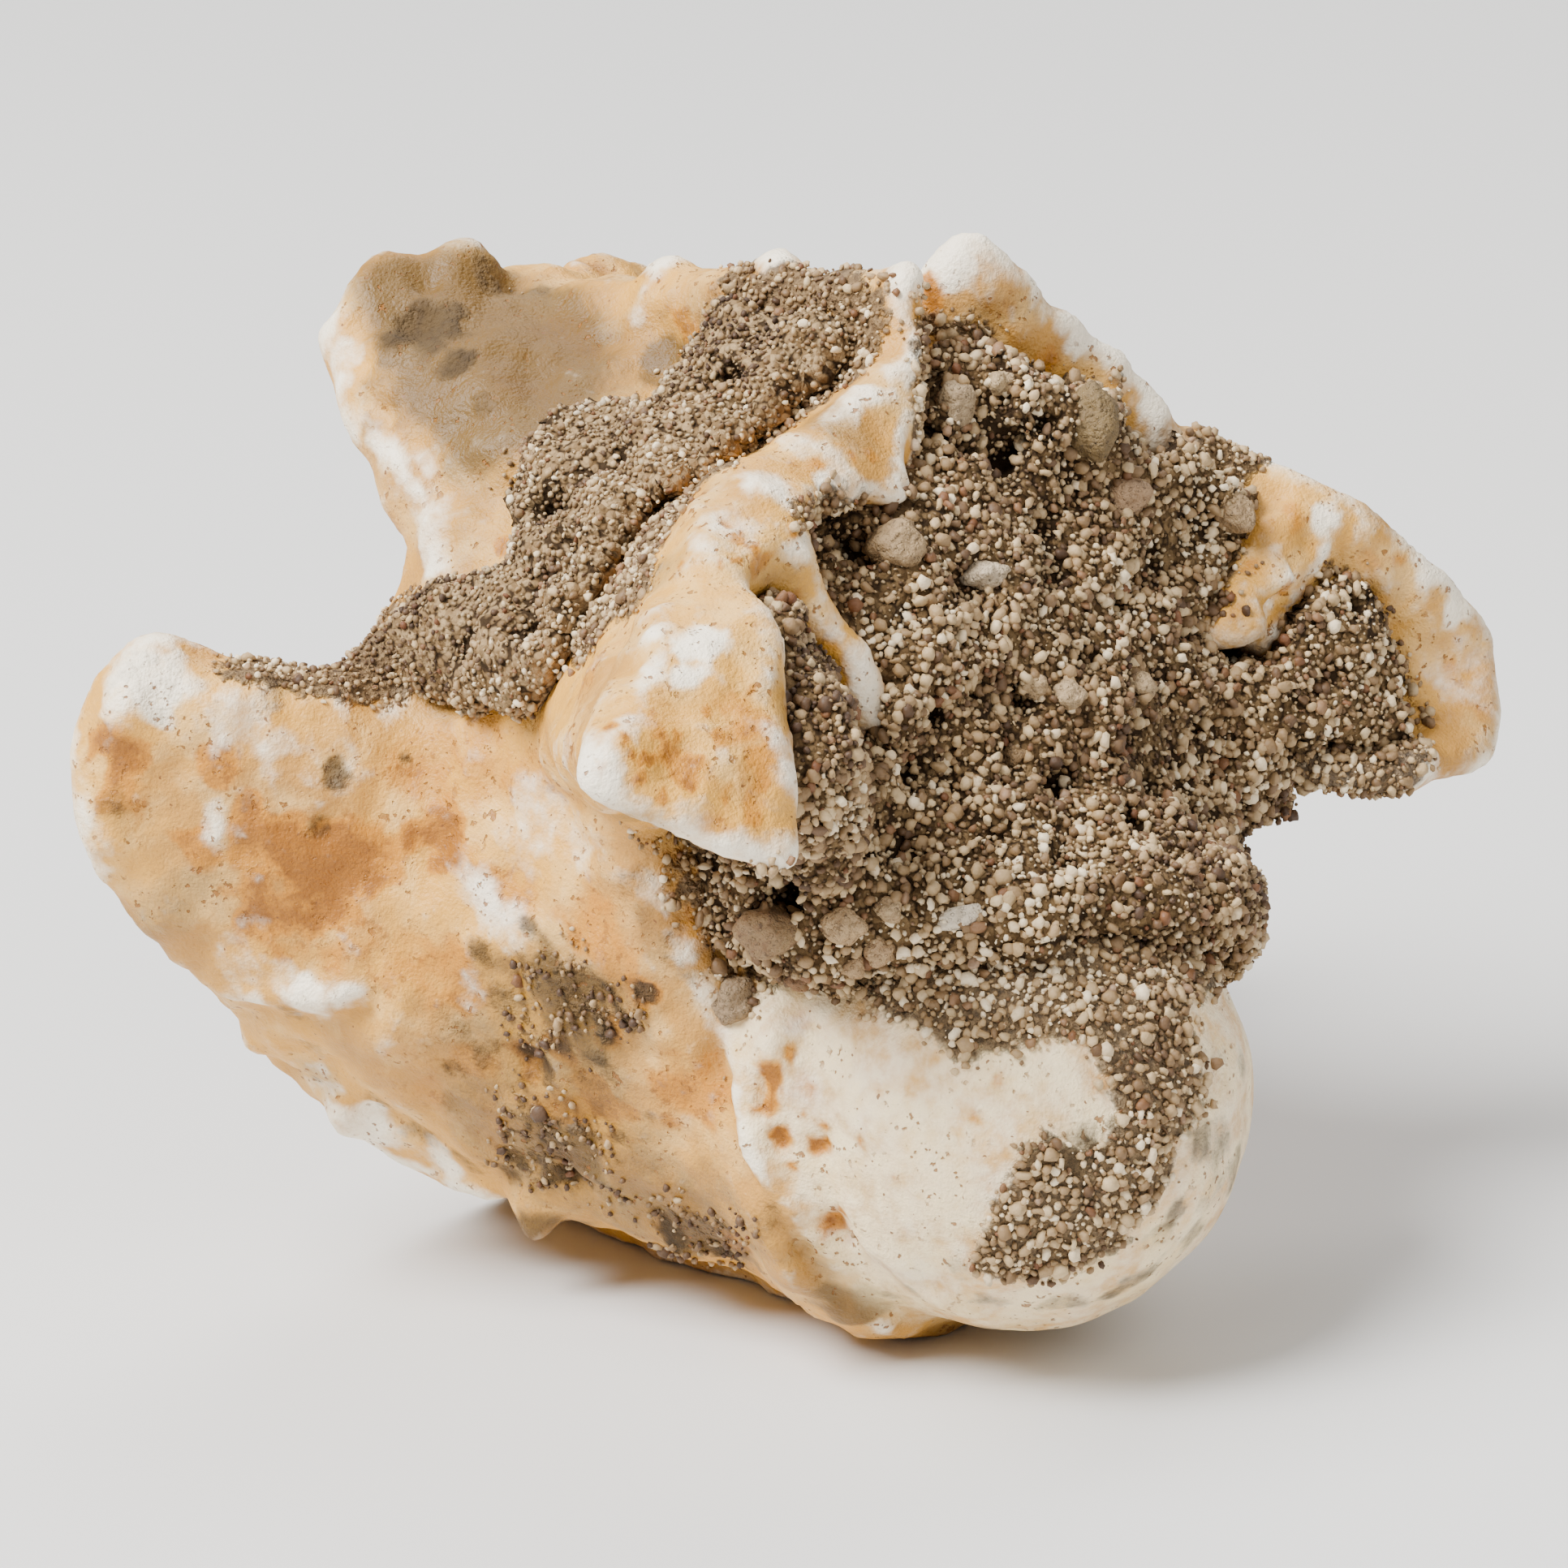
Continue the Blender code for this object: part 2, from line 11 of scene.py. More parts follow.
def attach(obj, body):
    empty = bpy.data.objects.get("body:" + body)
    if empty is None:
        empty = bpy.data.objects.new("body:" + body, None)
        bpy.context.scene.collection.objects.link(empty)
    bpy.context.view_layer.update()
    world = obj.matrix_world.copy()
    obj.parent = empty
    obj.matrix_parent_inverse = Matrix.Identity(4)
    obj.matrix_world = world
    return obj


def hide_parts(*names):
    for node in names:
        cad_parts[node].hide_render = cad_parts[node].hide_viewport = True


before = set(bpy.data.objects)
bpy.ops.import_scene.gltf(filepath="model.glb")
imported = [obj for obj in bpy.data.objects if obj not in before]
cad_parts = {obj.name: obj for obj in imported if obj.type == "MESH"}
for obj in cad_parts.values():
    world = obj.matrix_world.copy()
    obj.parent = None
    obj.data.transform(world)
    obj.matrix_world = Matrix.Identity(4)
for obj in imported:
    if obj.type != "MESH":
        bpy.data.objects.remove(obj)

# A fossil sea snake vertebra with the sand that is cemented into its hollows. The bone is sculpted in its
# own upright frame, in millimetres: X to the animal's right, Y forward, Z up towards the back, with the
# middle of the ball at the rear as the origin. Finished pieces are written in the frame's metres.

bl_info = {
    "name": "Fossil sea snake vertebra",
    "version": (1, 0, 0),
    "blender": (4, 5, 0),
    "location": "3D View > Sidebar > Vertebra",
    "description": "Dresses the vertebra, its sand and its stage",
    "category": "Object",
}

MM = 0.001
FULL_TURN = 6.283

# The bone's resting pose, and where the middle of its ball lies in the frame, in millimetres
REST_ROLL = math.radians(9.8)
REST_PITCH = math.radians(-3.9)
BALL_MIDDLE = Vector((-1.3071, -5.6457, 4.9225))
CANAL_HEIGHT = 7.6
CUP_HEIGHT = 0.7
TURN = Matrix.Rotation(REST_ROLL, 4, "Y") @ Matrix.Rotation(REST_PITCH, 4, "X")
UPRIGHT_TO_ROW = Matrix.Scale(MM, 4) @ Matrix.Translation(BALL_MIDDLE) @ TURN
ROW_TO_UPRIGHT = UPRIGHT_TO_ROW.inverted()

# The camera, seen from the bone's upright frame: behind its left side and a little above it
PICTURE_SIZE = 1932
LENS = 150.0
SENSOR = 36.0
PIXELS_PER_MM = 68.0
CAMERA_AZIMUTH = math.radians(46.0)
CAMERA_ELEVATION = math.radians(8.0)
CAMERA_ROLL = math.radians(-2.2)
BALL_PIXEL = (1250, 1345)


def camera_axes():
    """The camera's right, up and away directions in the upright frame."""
    sin_a, cos_a = math.sin(CAMERA_AZIMUTH), math.cos(CAMERA_AZIMUTH)
    sin_e, cos_e = math.sin(CAMERA_ELEVATION), math.cos(CAMERA_ELEVATION)
    level_right = Vector((cos_a, -sin_a, 0.0))
    level_up = Vector((sin_a * sin_e, cos_a * sin_e, cos_e))
    away = Vector((sin_a * cos_e, cos_a * cos_e, -sin_e))
    cos_r, sin_r = math.cos(CAMERA_ROLL), math.sin(CAMERA_ROLL)
    return cos_r * level_right - sin_r * level_up, sin_r * level_right + cos_r * level_up, away


RIGHT, UP, AWAY = camera_axes()
FOCAL_PIXELS = LENS / SENSOR * PICTURE_SIZE
HALF = PICTURE_SIZE / 2
EYE = -(
    (BALL_PIXEL[0] - HALF) / PIXELS_PER_MM * RIGHT
    + (HALF - BALL_PIXEL[1]) / PIXELS_PER_MM * UP
    + FOCAL_PIXELS / PIXELS_PER_MM * AWAY
)


def sight(x, y):
    """The direction from the camera through a place in the picture."""
    return ((x - HALF) * RIGHT + (HALF - y) * UP) / FOCAL_PIXELS + AWAY


def picture_places(points):
    """Where points in the upright frame fall in the picture."""
    offset = points - np.array(EYE)
    depth = offset @ np.array(AWAY)
    across = HALF + FOCAL_PIXELS * (offset @ np.array(RIGHT)) / depth
    down = HALF - FOCAL_PIXELS * (offset @ np.array(UP)) / depth
    return np.stack([across, down], axis=1)


# Places in the tables below are in a picture 1932 pixels wide. Outlines of the sand that clings to bare bone,
# each after how thickly coarse and middling grains lie there, from 0 to 1
SAND_OUTLINES = {
    "left trough": (0.2, 0.75, [
        (906, 330), (863, 386), (801, 496), (709, 496), (678, 515), (616, 595), (641, 644), (653, 681),
        (591, 718), (530, 716), (481, 735), (431, 786), (345, 817), (246, 808), (259, 820), (320, 845),
        (431, 870), (493, 862), (591, 838), (647, 825), (727, 806), (795, 745), (819, 669), (863, 595),
        (906, 560), (972, 532), (1062, 486), (1094, 400), (1074, 345), (1000, 325),
    ]),
    "on the ball": (0.9, 0.4, [
        (1000, 1150), (992, 1216), (1053, 1227), (1068, 1252), (1130, 1257), (1165, 1298), (1227, 1308),
        (1257, 1288), (1288, 1278), (1349, 1267), (1359, 1288), (1354, 1359), (1374, 1400), (1339, 1420),
        (1298, 1385), (1257, 1395), (1257, 1466), (1216, 1492), (1216, 1528), (1186, 1553), (1206, 1573),
        (1278, 1568), (1339, 1563), (1374, 1533), (1410, 1497), (1431, 1441), (1451, 1410), (1482, 1359),
        (1476, 1298), (1456, 1247), (1502, 1206), (1540, 1180), (1560, 1120),
    ]),
    "flank": (0.14, 0.33, [
        (614, 1211), (656, 1174), (717, 1168), (802, 1211), (814, 1247), (765, 1295), (729, 1332),
        (680, 1295), (644, 1332), (632, 1295),
    ]),
    "low flank": (0.14, 0.35, [
        (620, 1332), (692, 1344), (765, 1405), (789, 1465), (717, 1489), (644, 1465), (595, 1405),
    ]),
    "below the spine bar": (0.95, 0.4, [
        (962, 614), (1015, 606), (1070, 616), (1064, 650), (1034, 702), (1012, 690), (985, 650),
    ]),
    "keel": (0.12, 0.33, [
        (753, 1477), (838, 1471), (935, 1514), (923, 1556), (886, 1562), (808, 1538), (753, 1502),
    ]),
    "below the left wing": (0.55, 0.5, [
        (765, 1017), (868, 1053), (959, 1077), (1010, 1089), (1010, 1180), (985, 1225), (915, 1255),
        (885, 1215), (856, 1138), (802, 1089),
    ]),
    "right wing": (0.85, 0.4, [
        (1628, 692), (1665, 696), (1704, 735), (1729, 805), (1748, 869), (1762, 940), (1716, 972),
        (1640, 978), (1590, 975), (1560, 900), (1545, 825), (1572, 790), (1606, 735),
    ]),
    "under the right edge": (0.9, 0.4, [
        (1128, 345), (1150, 352), (1170, 395), (1225, 387), (1270, 441), (1308, 473), (1385, 460),
        (1410, 556), (1461, 540), (1545, 540), (1560, 585), (1548, 640), (1540, 700), (1512, 779),
        (1400, 800), (1200, 800), (1112, 600),
    ]),
}

# Outlines of bare bone that the sand leaves free
BARE_OUTLINES = [
    [
        (380, 400), (470, 300), (640, 320), (830, 300), (905, 315), (866, 390), (803, 492), (712, 492),
        (680, 512), (640, 560), (622, 600), (632, 650), (618, 690), (572, 708), (528, 716), (510, 730),
        (480, 748), (430, 745), (440, 640), (460, 560),
    ],
    [
        (1140, 330), (1160, 280), (1215, 280), (1320, 380), (1400, 430), (1460, 540), (1425, 565),
        (1392, 505), (1375, 462), (1308, 470), (1262, 436), (1225, 388), (1180, 400), (1150, 395),
    ],
    [
        (1556, 600), (1600, 570), (1720, 600), (1870, 750), (1880, 960), (1740, 1010), (1660, 985),
        (1716, 985), (1765, 950), (1742, 870), (1724, 805), (1700, 740), (1665, 698), (1628, 696),
        (1606, 735), (1572, 790), (1546, 820), (1500, 805), (1512, 740), (1538, 640),
    ],
    [
        (1092, 335), (1128, 330), (1126, 470), (1116, 600), (1030, 600), (965, 612), (900, 640),
        (888, 602), (963, 534), (1020, 496), (1067, 458), (1089, 400),
    ],
]

# Outlines where earth has stained the bone, and where shade is painted below the ball and along the low
# flank, each after how strongly
BROWN_AND_SHADE_OUTLINES = [
    (1.0, [
        (440, 350), (470, 312), (600, 310), (640, 340), (735, 350), (752, 420), (725, 500), (640, 570),
        (575, 600), (520, 530), (455, 440),
    ]),
    (0.5, [
        (760, 400), (850, 350), (900, 350), (860, 420), (800, 500), (740, 510),
    ]),
    (0.55, [
        (575, 1200), (650, 1150), (720, 1160), (820, 1200), (820, 1260), (770, 1320), (800, 1390),
        (900, 1480), (935, 1560), (780, 1520), (640, 1470), (560, 1400), (520, 1300),
    ]),
    (0.3, [
        (940, 1570), (1050, 1590), (1200, 1620), (1300, 1625), (1240, 1665), (1170, 1662), (1000, 1610),
    ]),
]


def inside_outline(places, outline):
    """True for each place that lies inside the closed outline."""
    x, y = places[:, 0], places[:, 1]
    inside = np.zeros(len(places), bool)
    for (x1, y1), (x2, y2) in zip(outline, outline[1:] + outline[:1]):
        crosses = (y1 > y) != (y2 > y)
        rise = y2 - y1 if y2 != y1 else 1e-9
        inside ^= crosses & (x < x1 + (x2 - x1) * (y - y1) / rise)
    return inside


def smoothstep(values, low, high):
    """0 at low, 1 at high and smooth between them. Low may be above high."""
    part = np.clip((values - low) / (high - low), 0.0, 1.0)
    return part * part * (3.0 - 2.0 * part)


def lumps(points, size, seed=0):
    """Smooth noise from -1 to 1 with lumps of that size, at each point."""
    shift = Vector((7.3, 3.1, 11.7)) * (seed + 1)
    return np.array([noise.noise(Vector(point) / size + shift) for point in points])


def wander(points, size, *seeds):
    """Smooth noise from -1 to 1 along as many axes as there are seeds."""
    return np.stack([lumps(points, size, seed) for seed in seeds], axis=1)


def distances(points, middle):
    """How far each point is from the middle."""
    return np.linalg.norm(points - np.array(middle), axis=1)


# Meshes and objects


def mesh_of(shape, name):
    """The finished shape as a mesh."""
    mesh = bpy.data.meshes.new(name)
    shape.to_mesh(mesh)
    shape.free()
    return mesh


def placed(name, data):
    """A new object in the scene."""
    item = bpy.data.objects.new(name, data)
    bpy.context.scene.collection.objects.link(item)
    return item


def store(mesh, name, values):
    """Keeps a value from 0 to 1 at each point of the mesh, for materials and geometry nodes."""
    kept = mesh.attributes.new(name, "FLOAT", "POINT")
    kept.data.foreach_set("value", np.clip(values, 0.0, 1.0).astype(np.float32))


def merged_copy(node):
    """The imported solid's mesh with its loose triangles joined, in the upright frame."""
    shape = bmesh.new()
    shape.from_mesh(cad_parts[node].data)
    bmesh.ops.remove_doubles(shape, verts=shape.verts, dist=1e-7)
    mesh = mesh_of(shape, node + "_copy")
    mesh.transform(ROW_TO_UPRIGHT)
    return mesh


def through_modifiers(mesh, add_modifiers):
    """The mesh that the modifiers make of this one, which is used up."""
    item = placed("scratch", mesh)
    add_modifiers(item)
    graph = bpy.context.evaluated_depsgraph_get()
    made = bpy.data.meshes.new_from_object(item.evaluated_get(graph))
    item.modifiers.clear()
    bpy.data.objects.remove(item)
    bpy.data.meshes.remove(mesh)
    return made


def refined(mesh, voxel, smoothing):
    """The mesh rounded, made of faces of one size in millimetres, and smoothed that many times."""

    def add_modifiers(item):
        rounding = item.modifiers.new("Round", "SUBSURF")
        rounding.levels = rounding.render_levels = 2
        remesh = item.modifiers.new("Refine", "REMESH")
        remesh.mode = "VOXEL"
        remesh.voxel_size = voxel
        smooth = item.modifiers.new("Smooth", "SMOOTH")
        smooth.factor = 0.5
        smooth.iterations = smoothing

    return through_modifiers(mesh, add_modifiers)


class Skin:
    """A mesh's points as arrays, with the sums that sculpting and painting need."""

    def __init__(self, mesh):
        self.mesh = mesh
        count = len(mesh.vertices)
        self.points = np.empty(count * 3, np.float32)
        mesh.vertices.foreach_get("co", self.points)
        self.points = self.points.reshape(-1, 3).astype(float)
        ends = np.empty(len(mesh.edges) * 2, np.int32)
        mesh.edges.foreach_get("vertices", ends)
        self.first, self.second = ends.reshape(-1, 2).T
        both = np.concatenate([self.first, self.second])
        self.neighbours = np.maximum(np.bincount(both, minlength=count), 1)
        self.read_normals()

    def read_normals(self):
        """Takes the normals from the mesh as it is now."""
        normals = np.empty(len(self.mesh.vertices) * 3, np.float32)
        self.mesh.vertices.foreach_get("normal", normals)
        self.normals = normals.reshape(-1, 3).astype(float)

    def averaged(self, values, rounds):
        """Each value replaced by its neighbours' mean, that many times."""
        count = len(self.points)
        for _ in range(rounds):
            total = np.bincount(self.first, values[self.second], count)
            total += np.bincount(self.second, values[self.first], count)
            values = total / self.neighbours
        return values

    def averaged_vectors(self, vectors, rounds):
        """The same for three values at each point."""
        return np.stack([self.averaged(vectors[:, axis], rounds) for axis in range(3)], axis=1)

    def bulge(self, rounds):
        """How far each point stands out of its surroundings, in millimetres: negative in hollows."""
        around = self.averaged_vectors(self.points, rounds)
        return np.einsum("ij,ij->i", self.points - around, self.normals)

    def faces_camera(self, limit):
        """True for each point whose surface turns to the camera, or from it by no more than the limit."""
        return self.normals @ np.array(AWAY) < limit

    def push(self, distance):
        """Moves each point along its normal."""
        self.points += self.normals * distance[:, None]
        self.write()

    def write(self):
        """Gives the mesh the points as they are now."""
        self.mesh.vertices.foreach_set("co", self.points.astype(np.float32).ravel())
        self.mesh.update()
        self.read_normals()

    def tree(self):
        """The skin as a tree that rays are cast at."""
        faces = [tuple(face.vertices) for face in self.mesh.polygons]
        return BVHTree.FromPolygons([tuple(point) for point in self.points], faces)


class Sight:
    """What the camera sees first, among several skins."""

    def __init__(self, *skins):
        self.trees = [skin.tree() for skin in skins]
        self.points = np.concatenate([skin.points for skin in skins])
        self.places = picture_places(self.points)

    def hit(self, x, y):
        """The point that the camera sees at a place in the picture, or the edge nearest to that place."""
        direction = sight(x, y).normalized()
        hits = [tree.ray_cast(EYE, direction) for tree in self.trees]
        hits = [found for found in hits if found[0] is not None]
        if hits:
            return min(hits, key=lambda found: found[3])[0]
        return Vector(self.points[np.argmin(distances(self.places, (x, y)))])

    def seen(self, points, slack=0.35):
        """True for each point that nothing hides from the camera, but for the last bit of the way."""
        visible = np.empty(len(points), bool)
        for index, point in enumerate(points):
            direction = Vector(point) - EYE
            reach = direction.length - slack
            direction.normalize()
            visible[index] = all(tree.ray_cast(EYE, direction, reach)[0] is None for tree in self.trees)
        return visible


def spot_strength(points, middles, ragged, stray=0.0):
    """From 0 to 1: how far inside the nearest spot each point is. Each spot is (middle, radius, strength)."""
    strength = np.zeros(len(points))
    for middle, radius, most in middles:
        distance = distances(points + stray * min(radius, 1.0), middle) * (1.0 + 0.45 * ragged)
        strength = np.maximum(strength, most * (1.0 - smoothstep(distance, 0.35 * radius, radius)))
    return strength


def stroke_distance(points, path):
    """The distance from each point to a path of straight stretches."""
    nearest = np.full(len(points), 1e9)
    for start, end in zip(path, path[1:]):
        start, along = np.array(start), np.array(end) - np.array(start)
        share = np.clip((points - start) @ along / (along @ along + 1e-12), 0.0, 1.0)
        gap = np.linalg.norm(points - start - share[:, None] * along, axis=1)
        nearest = np.minimum(nearest, gap)
    return nearest


# Materials


class Signal:
    """A socket in a material, so that shader sums read as Python sums."""

    def __init__(self, finish, socket):
        self.finish = finish
        self.socket = socket

    def __add__(self, other):
        return self.finish.maths("ADD", self, other)

    def __sub__(self, other):
        return self.finish.maths("SUBTRACT", self, other)

    def __rsub__(self, other):
        return self.finish.maths("SUBTRACT", other, self)

    def __mul__(self, other):
        return self.finish.maths("MULTIPLY", self, other)

    __radd__ = __add__
    __rmul__ = __mul__


class Finish:
    """A node-based material under construction."""

    def __init__(self, name, roughness):
        self.material = bpy.data.materials.new(name)
        self.material.use_nodes = True
        self.nodes = self.material.node_tree.nodes
        self.links = self.material.node_tree.links
        self.shader = self.nodes["Principled BSDF"]
        self.shader.inputs["Roughness"].default_value = roughness
        self.place = self.node("ShaderNodeTexCoord", {}, {}, "Object")

    def node(self, kind, settings, inputs, output=0):
        """A new node with those settings and inputs, as one of its outputs."""
        made = self.nodes.new(kind)
        for name, value in settings.items():
            if name == "stops":
                ramp = made.color_ramp
                while len(ramp.elements) < len(value):
                    ramp.elements.new(0.5)
                for element, (position, colour) in zip(ramp.elements, value):
                    element.position = position
                    element.color = (*colour, 1.0)
            else:
                setattr(made, name, value)
        for key, value in inputs.items():
            socket = made.inputs[key]
            if isinstance(value, Signal):
                self.links.new(value.socket, socket)
            elif socket.type == "RGBA":
                socket.default_value = (*value, 1.0)
            else:
                socket.default_value = value
        return Signal(self, made.outputs[output])

    def maths(self, operation, *values):
        """A Math node on signals and numbers."""
        return self.node("ShaderNodeMath", {"operation": operation}, dict(enumerate(values)))

    def mixed(self, factor, first, second):
        """first where the factor is 0, second where it is 1."""
        return self.node("ShaderNodeMix", {"data_type": "RGBA"}, {0: factor, 6: first, 7: second}, 2)

    def step(self, value, low, high):
        """0 below low, 1 above high, and smooth between them."""
        settings = {"interpolation_type": "SMOOTHSTEP"}
        return self.node("ShaderNodeMapRange", settings, {0: value, 1: low, 2: high})

    def noise(self, size, detail=3.0, roughness=0.55, warp=0.0):
        """Noise from 0 to 1 with lumps of that size in millimetres."""
        inputs = {"Vector": self.place, "Scale": 1.0 / (size * MM), "Detail": detail}
        inputs.update({"Roughness": roughness, "Distortion": warp})
        return self.node("ShaderNodeTexNoise", {}, inputs, "Fac")

    def cells(self, size, output="Distance"):
        """Cells of that size: the distance to the nearest middle, or with "Color" a tone for each cell."""
        inputs = {"Vector": self.place, "Scale": 1.0 / (size * MM)}
        return self.node("ShaderNodeTexVoronoi", {}, inputs, output)

    def kept(self, name):
        """A value that sculpting stored on the mesh."""
        return self.node("ShaderNodeAttribute", {"attribute_name": name}, {}, "Fac")

    def bump(self, height, distance, strength=1.0):
        """Bumps the surface by the height, of which 1 stands for that distance in millimetres."""
        inputs = {"Strength": strength, "Distance": distance * MM, "Height": height}
        self.feed("Normal", self.node("ShaderNodeBump", {}, inputs))

    def feed(self, name, signal):
        """Links a signal to an input of the shader."""
        self.links.new(signal.socket, self.shader.inputs[name])


def bone_finish(settings, sand):
    """Fossil bone: cream, ochre where iron has stained it, white where it is worn and brown in its pits, with
    dirt, earth stains and painted shade darkening its hollows and low places.
    """
    finish = Finish("fossil bone", 0.55)
    finish.shader.inputs["Specular IOR Level"].default_value = 0.45
    broad = finish.noise(3.2, 3.0)
    middling = finish.noise(1.1, 4.0, warp=0.4)
    small = finish.noise(0.32, 3.0)
    fine = finish.noise(0.12, 2.0)

    colour = finish.mixed(finish.step(broad, 0.38, 0.64), settings.cream, settings.tan)
    colour = finish.mixed(finish.step(middling, 0.42, 0.66) * 0.45, colour, settings.pale)
    colour = finish.mixed(finish.step(small, 0.5, 0.72) * 0.28, colour, settings.tan)

    ochre = finish.kept("ochre")
    stain = finish.step(ochre + (middling - 0.5) * 0.7 + (small - 0.5) * 0.35, 0.22, 0.62)
    colour = finish.mixed(stain * 0.95, colour, settings.amber)
    deep = finish.step(ochre + (small - 0.5) * 0.9, 0.60, 0.95)
    colour = finish.mixed(deep * 0.85, colour, settings.ochre)

    mottles = finish.step(finish.noise(0.3, 3.0, 0.7), 0.55, 0.64) * finish.step(ochre, 0.12, 0.45)
    colour = finish.mixed(mottles * 0.55, colour, settings.ochre)

    # Earth stains, and painted shade below the ball and along the low flank
    brown = finish.step(finish.kept("brown") + (middling - 0.5) * 0.5 + (small - 0.5) * 0.25, 0.05, 0.9)
    colour = finish.mixed(brown * 0.92, colour, settings.brown)

    worn = finish.step(finish.kept("worn") + (small - 0.5) * 0.9 + (middling - 0.5) * 0.6, 0.12, 0.95)
    colour = finish.mixed(worn * 0.9, colour, settings.white)
    tinge = finish.step(middling * 0.6 + broad * 0.4, 0.40, 0.60) * 0.5 + finish.step(small, 0.45, 0.7) * 0.22
    colour = finish.mixed(finish.kept("ball") * (tinge + 0.08), colour, settings.ivory)

    pores = finish.step(finish.noise(0.17, 2.0), 0.62, 0.68) * finish.step(middling, 0.44, 0.60)
    colour = finish.mixed(pores * 0.85, colour, settings.ochre)
    specks = finish.step(finish.noise(0.13, 1.0), 0.745, 0.78)
    colour = finish.mixed(specks * 0.85, colour, settings.pore)

    # The crust of packed sand, in the beds' darkened colours and cracked with the gap's shadow colour:
    # painted shade
    crust = finish.step(finish.kept("matrix") + (small - 0.5) * 1.1 + (middling - 0.5) * 0.5, 0.32, 0.62)
    packed = finish.mixed(finish.step(fine, 0.35, 0.65), sand.bed, sand.pale_bed)
    shaded_cracks = finish.step(small + (fine - 0.5) * 0.5, 0.40, 0.28)
    packed = finish.mixed(shaded_cracks * 0.9, packed, sand.gap)
    colour = finish.mixed(crust * 0.95, colour, packed)

    # Dirt and painted shade: darker in hollows, at the spots, and on the ball's low side and the body's low
    # edge
    grime = finish.kept("grime")
    soil_and_shade = finish.step(grime + (small - 0.5) * 0.6 + (fine - 0.5) * 0.25, 0.2, 0.85)
    dust = finish.mixed(finish.step(middling * 0.5 + small * 0.5, 0.38, 0.62), settings.grime, settings.dust)
    colour = finish.mixed(soil_and_shade * 0.85, colour, dust)
    finish.feed("Base Color", colour)

    finish.feed("Roughness", 0.46 + soil_and_shade * 0.35 + crust * 0.3 + small * 0.16 - worn * 0.04)
    height = small * 0.55 + fine * 0.45 + finish.noise(0.06, 2.0) * 0.2 - pores * 0.5
    height = height + crust * (small * 1.6 + fine * 1.8) + soil_and_shade * fine * 0.8
    finish.bump(height, 0.075, 0.9)
    return finish.material


def sand_bed_finish(name, bed, pale_bed, gap):
    """The packed sand between and below the grains that are modelled, in shadow: painted shade darkens its
    colours, most in the hollows.
    """
    finish = Finish(name, 0.9)
    finish.shader.inputs["Specular IOR Level"].default_value = 0.15
    cells = finish.cells(0.17)
    tone = finish.step(finish.noise(0.35, 3.0) + (finish.cells(0.17, "Color") - 0.5) * 0.7, 0.25, 0.75)
    colour = finish.mixed(tone, bed, pale_bed)
    # Painted shade: the gap's shadow colour in the hollows and between the cells
    shade_in_hollows = finish.kept("hollow") + (cells - 0.36) * 1.3 + (finish.noise(0.5, 2.0) - 0.5) * 1.2
    colour = finish.mixed(finish.step(shade_in_hollows, 0.22, 0.62) * 0.95, colour, gap)
    finish.feed("Base Color", colour)
    finish.bump(finish.noise(0.1, 2.0) * 0.6 - cells, 0.10)
    return finish.material


def grain_finish(name, stops, roughness):
    """Grains, each with its own tone from the tint kept on it."""
    finish = Finish(name, roughness)
    tint = finish.kept("tint")
    colour = finish.node("ShaderNodeValToRGB", {"stops": stops}, {"Fac": tint})
    colour = finish.mixed(finish.step(finish.kept("rust"), 0.935, 0.965) * 0.75, colour, RUST)
    blotches = finish.noise(0.1, 2.0)
    inputs = {"Value": 0.72, "Saturation": 1.1, "Color": colour}
    darker = finish.node("ShaderNodeHueSaturation", {}, inputs)
    colour = finish.mixed(finish.step(blotches, 0.45, 0.75) * 0.55, colour, darker)
    finish.feed("Base Color", colour)
    finish.bump(finish.noise(0.05, 2.0), 0.012)
    return finish.material


def pebble_finish(name, colour, speck):
    """A stone in its own colour, mottled with the speck's colour and pitted with a darker one."""
    finish = Finish(name, 0.7)
    mottle = finish.step(finish.noise(0.16, 4.0), 0.45, 0.68)
    toned = finish.mixed(mottle * 0.6, colour, speck)
    shade = finish.step(finish.noise(0.6, 2.0), 0.3, 0.7)
    toned = finish.mixed(shade * 0.25, toned, speck)
    dots = finish.step(finish.cells(0.11), 0.36, 0.22)
    pits = tuple(0.35 * part for part in speck)
    toned = finish.mixed(finish.step(finish.noise(0.09, 2.0), 0.6, 0.7) * 0.7, toned, pits)
    finish.feed("Base Color", toned)
    finish.bump(finish.noise(0.1, 3.0) + dots * 0.3, 0.10)
    return finish.material


def floor_finish(settings):
    """A matt floor whose shade drifts a little."""
    finish = Finish("floor", 0.8)
    drift = finish.noise(90.0, 2.0)
    shade = tuple(0.97 * part for part in settings.floor)
    finish.feed("Base Color", finish.mixed(drift, settings.floor, shade))
    return finish.material


# Pieces


def dress(name, mesh, material, slot, *nodes):
    """Finishes a piece in the frame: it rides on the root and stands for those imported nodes."""
    mesh.name = name
    mesh.transform(UPRIGHT_TO_ROW)
    mesh.materials.clear()
    mesh.materials.append(material)
    mesh.shade_smooth()
    piece = placed(name, mesh)
    if nodes:
        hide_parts(*nodes)
    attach(piece, "root")


# What one operator leaves for the next: skins, covers, spots of tone, grain trees and finishes
BENCH = {}

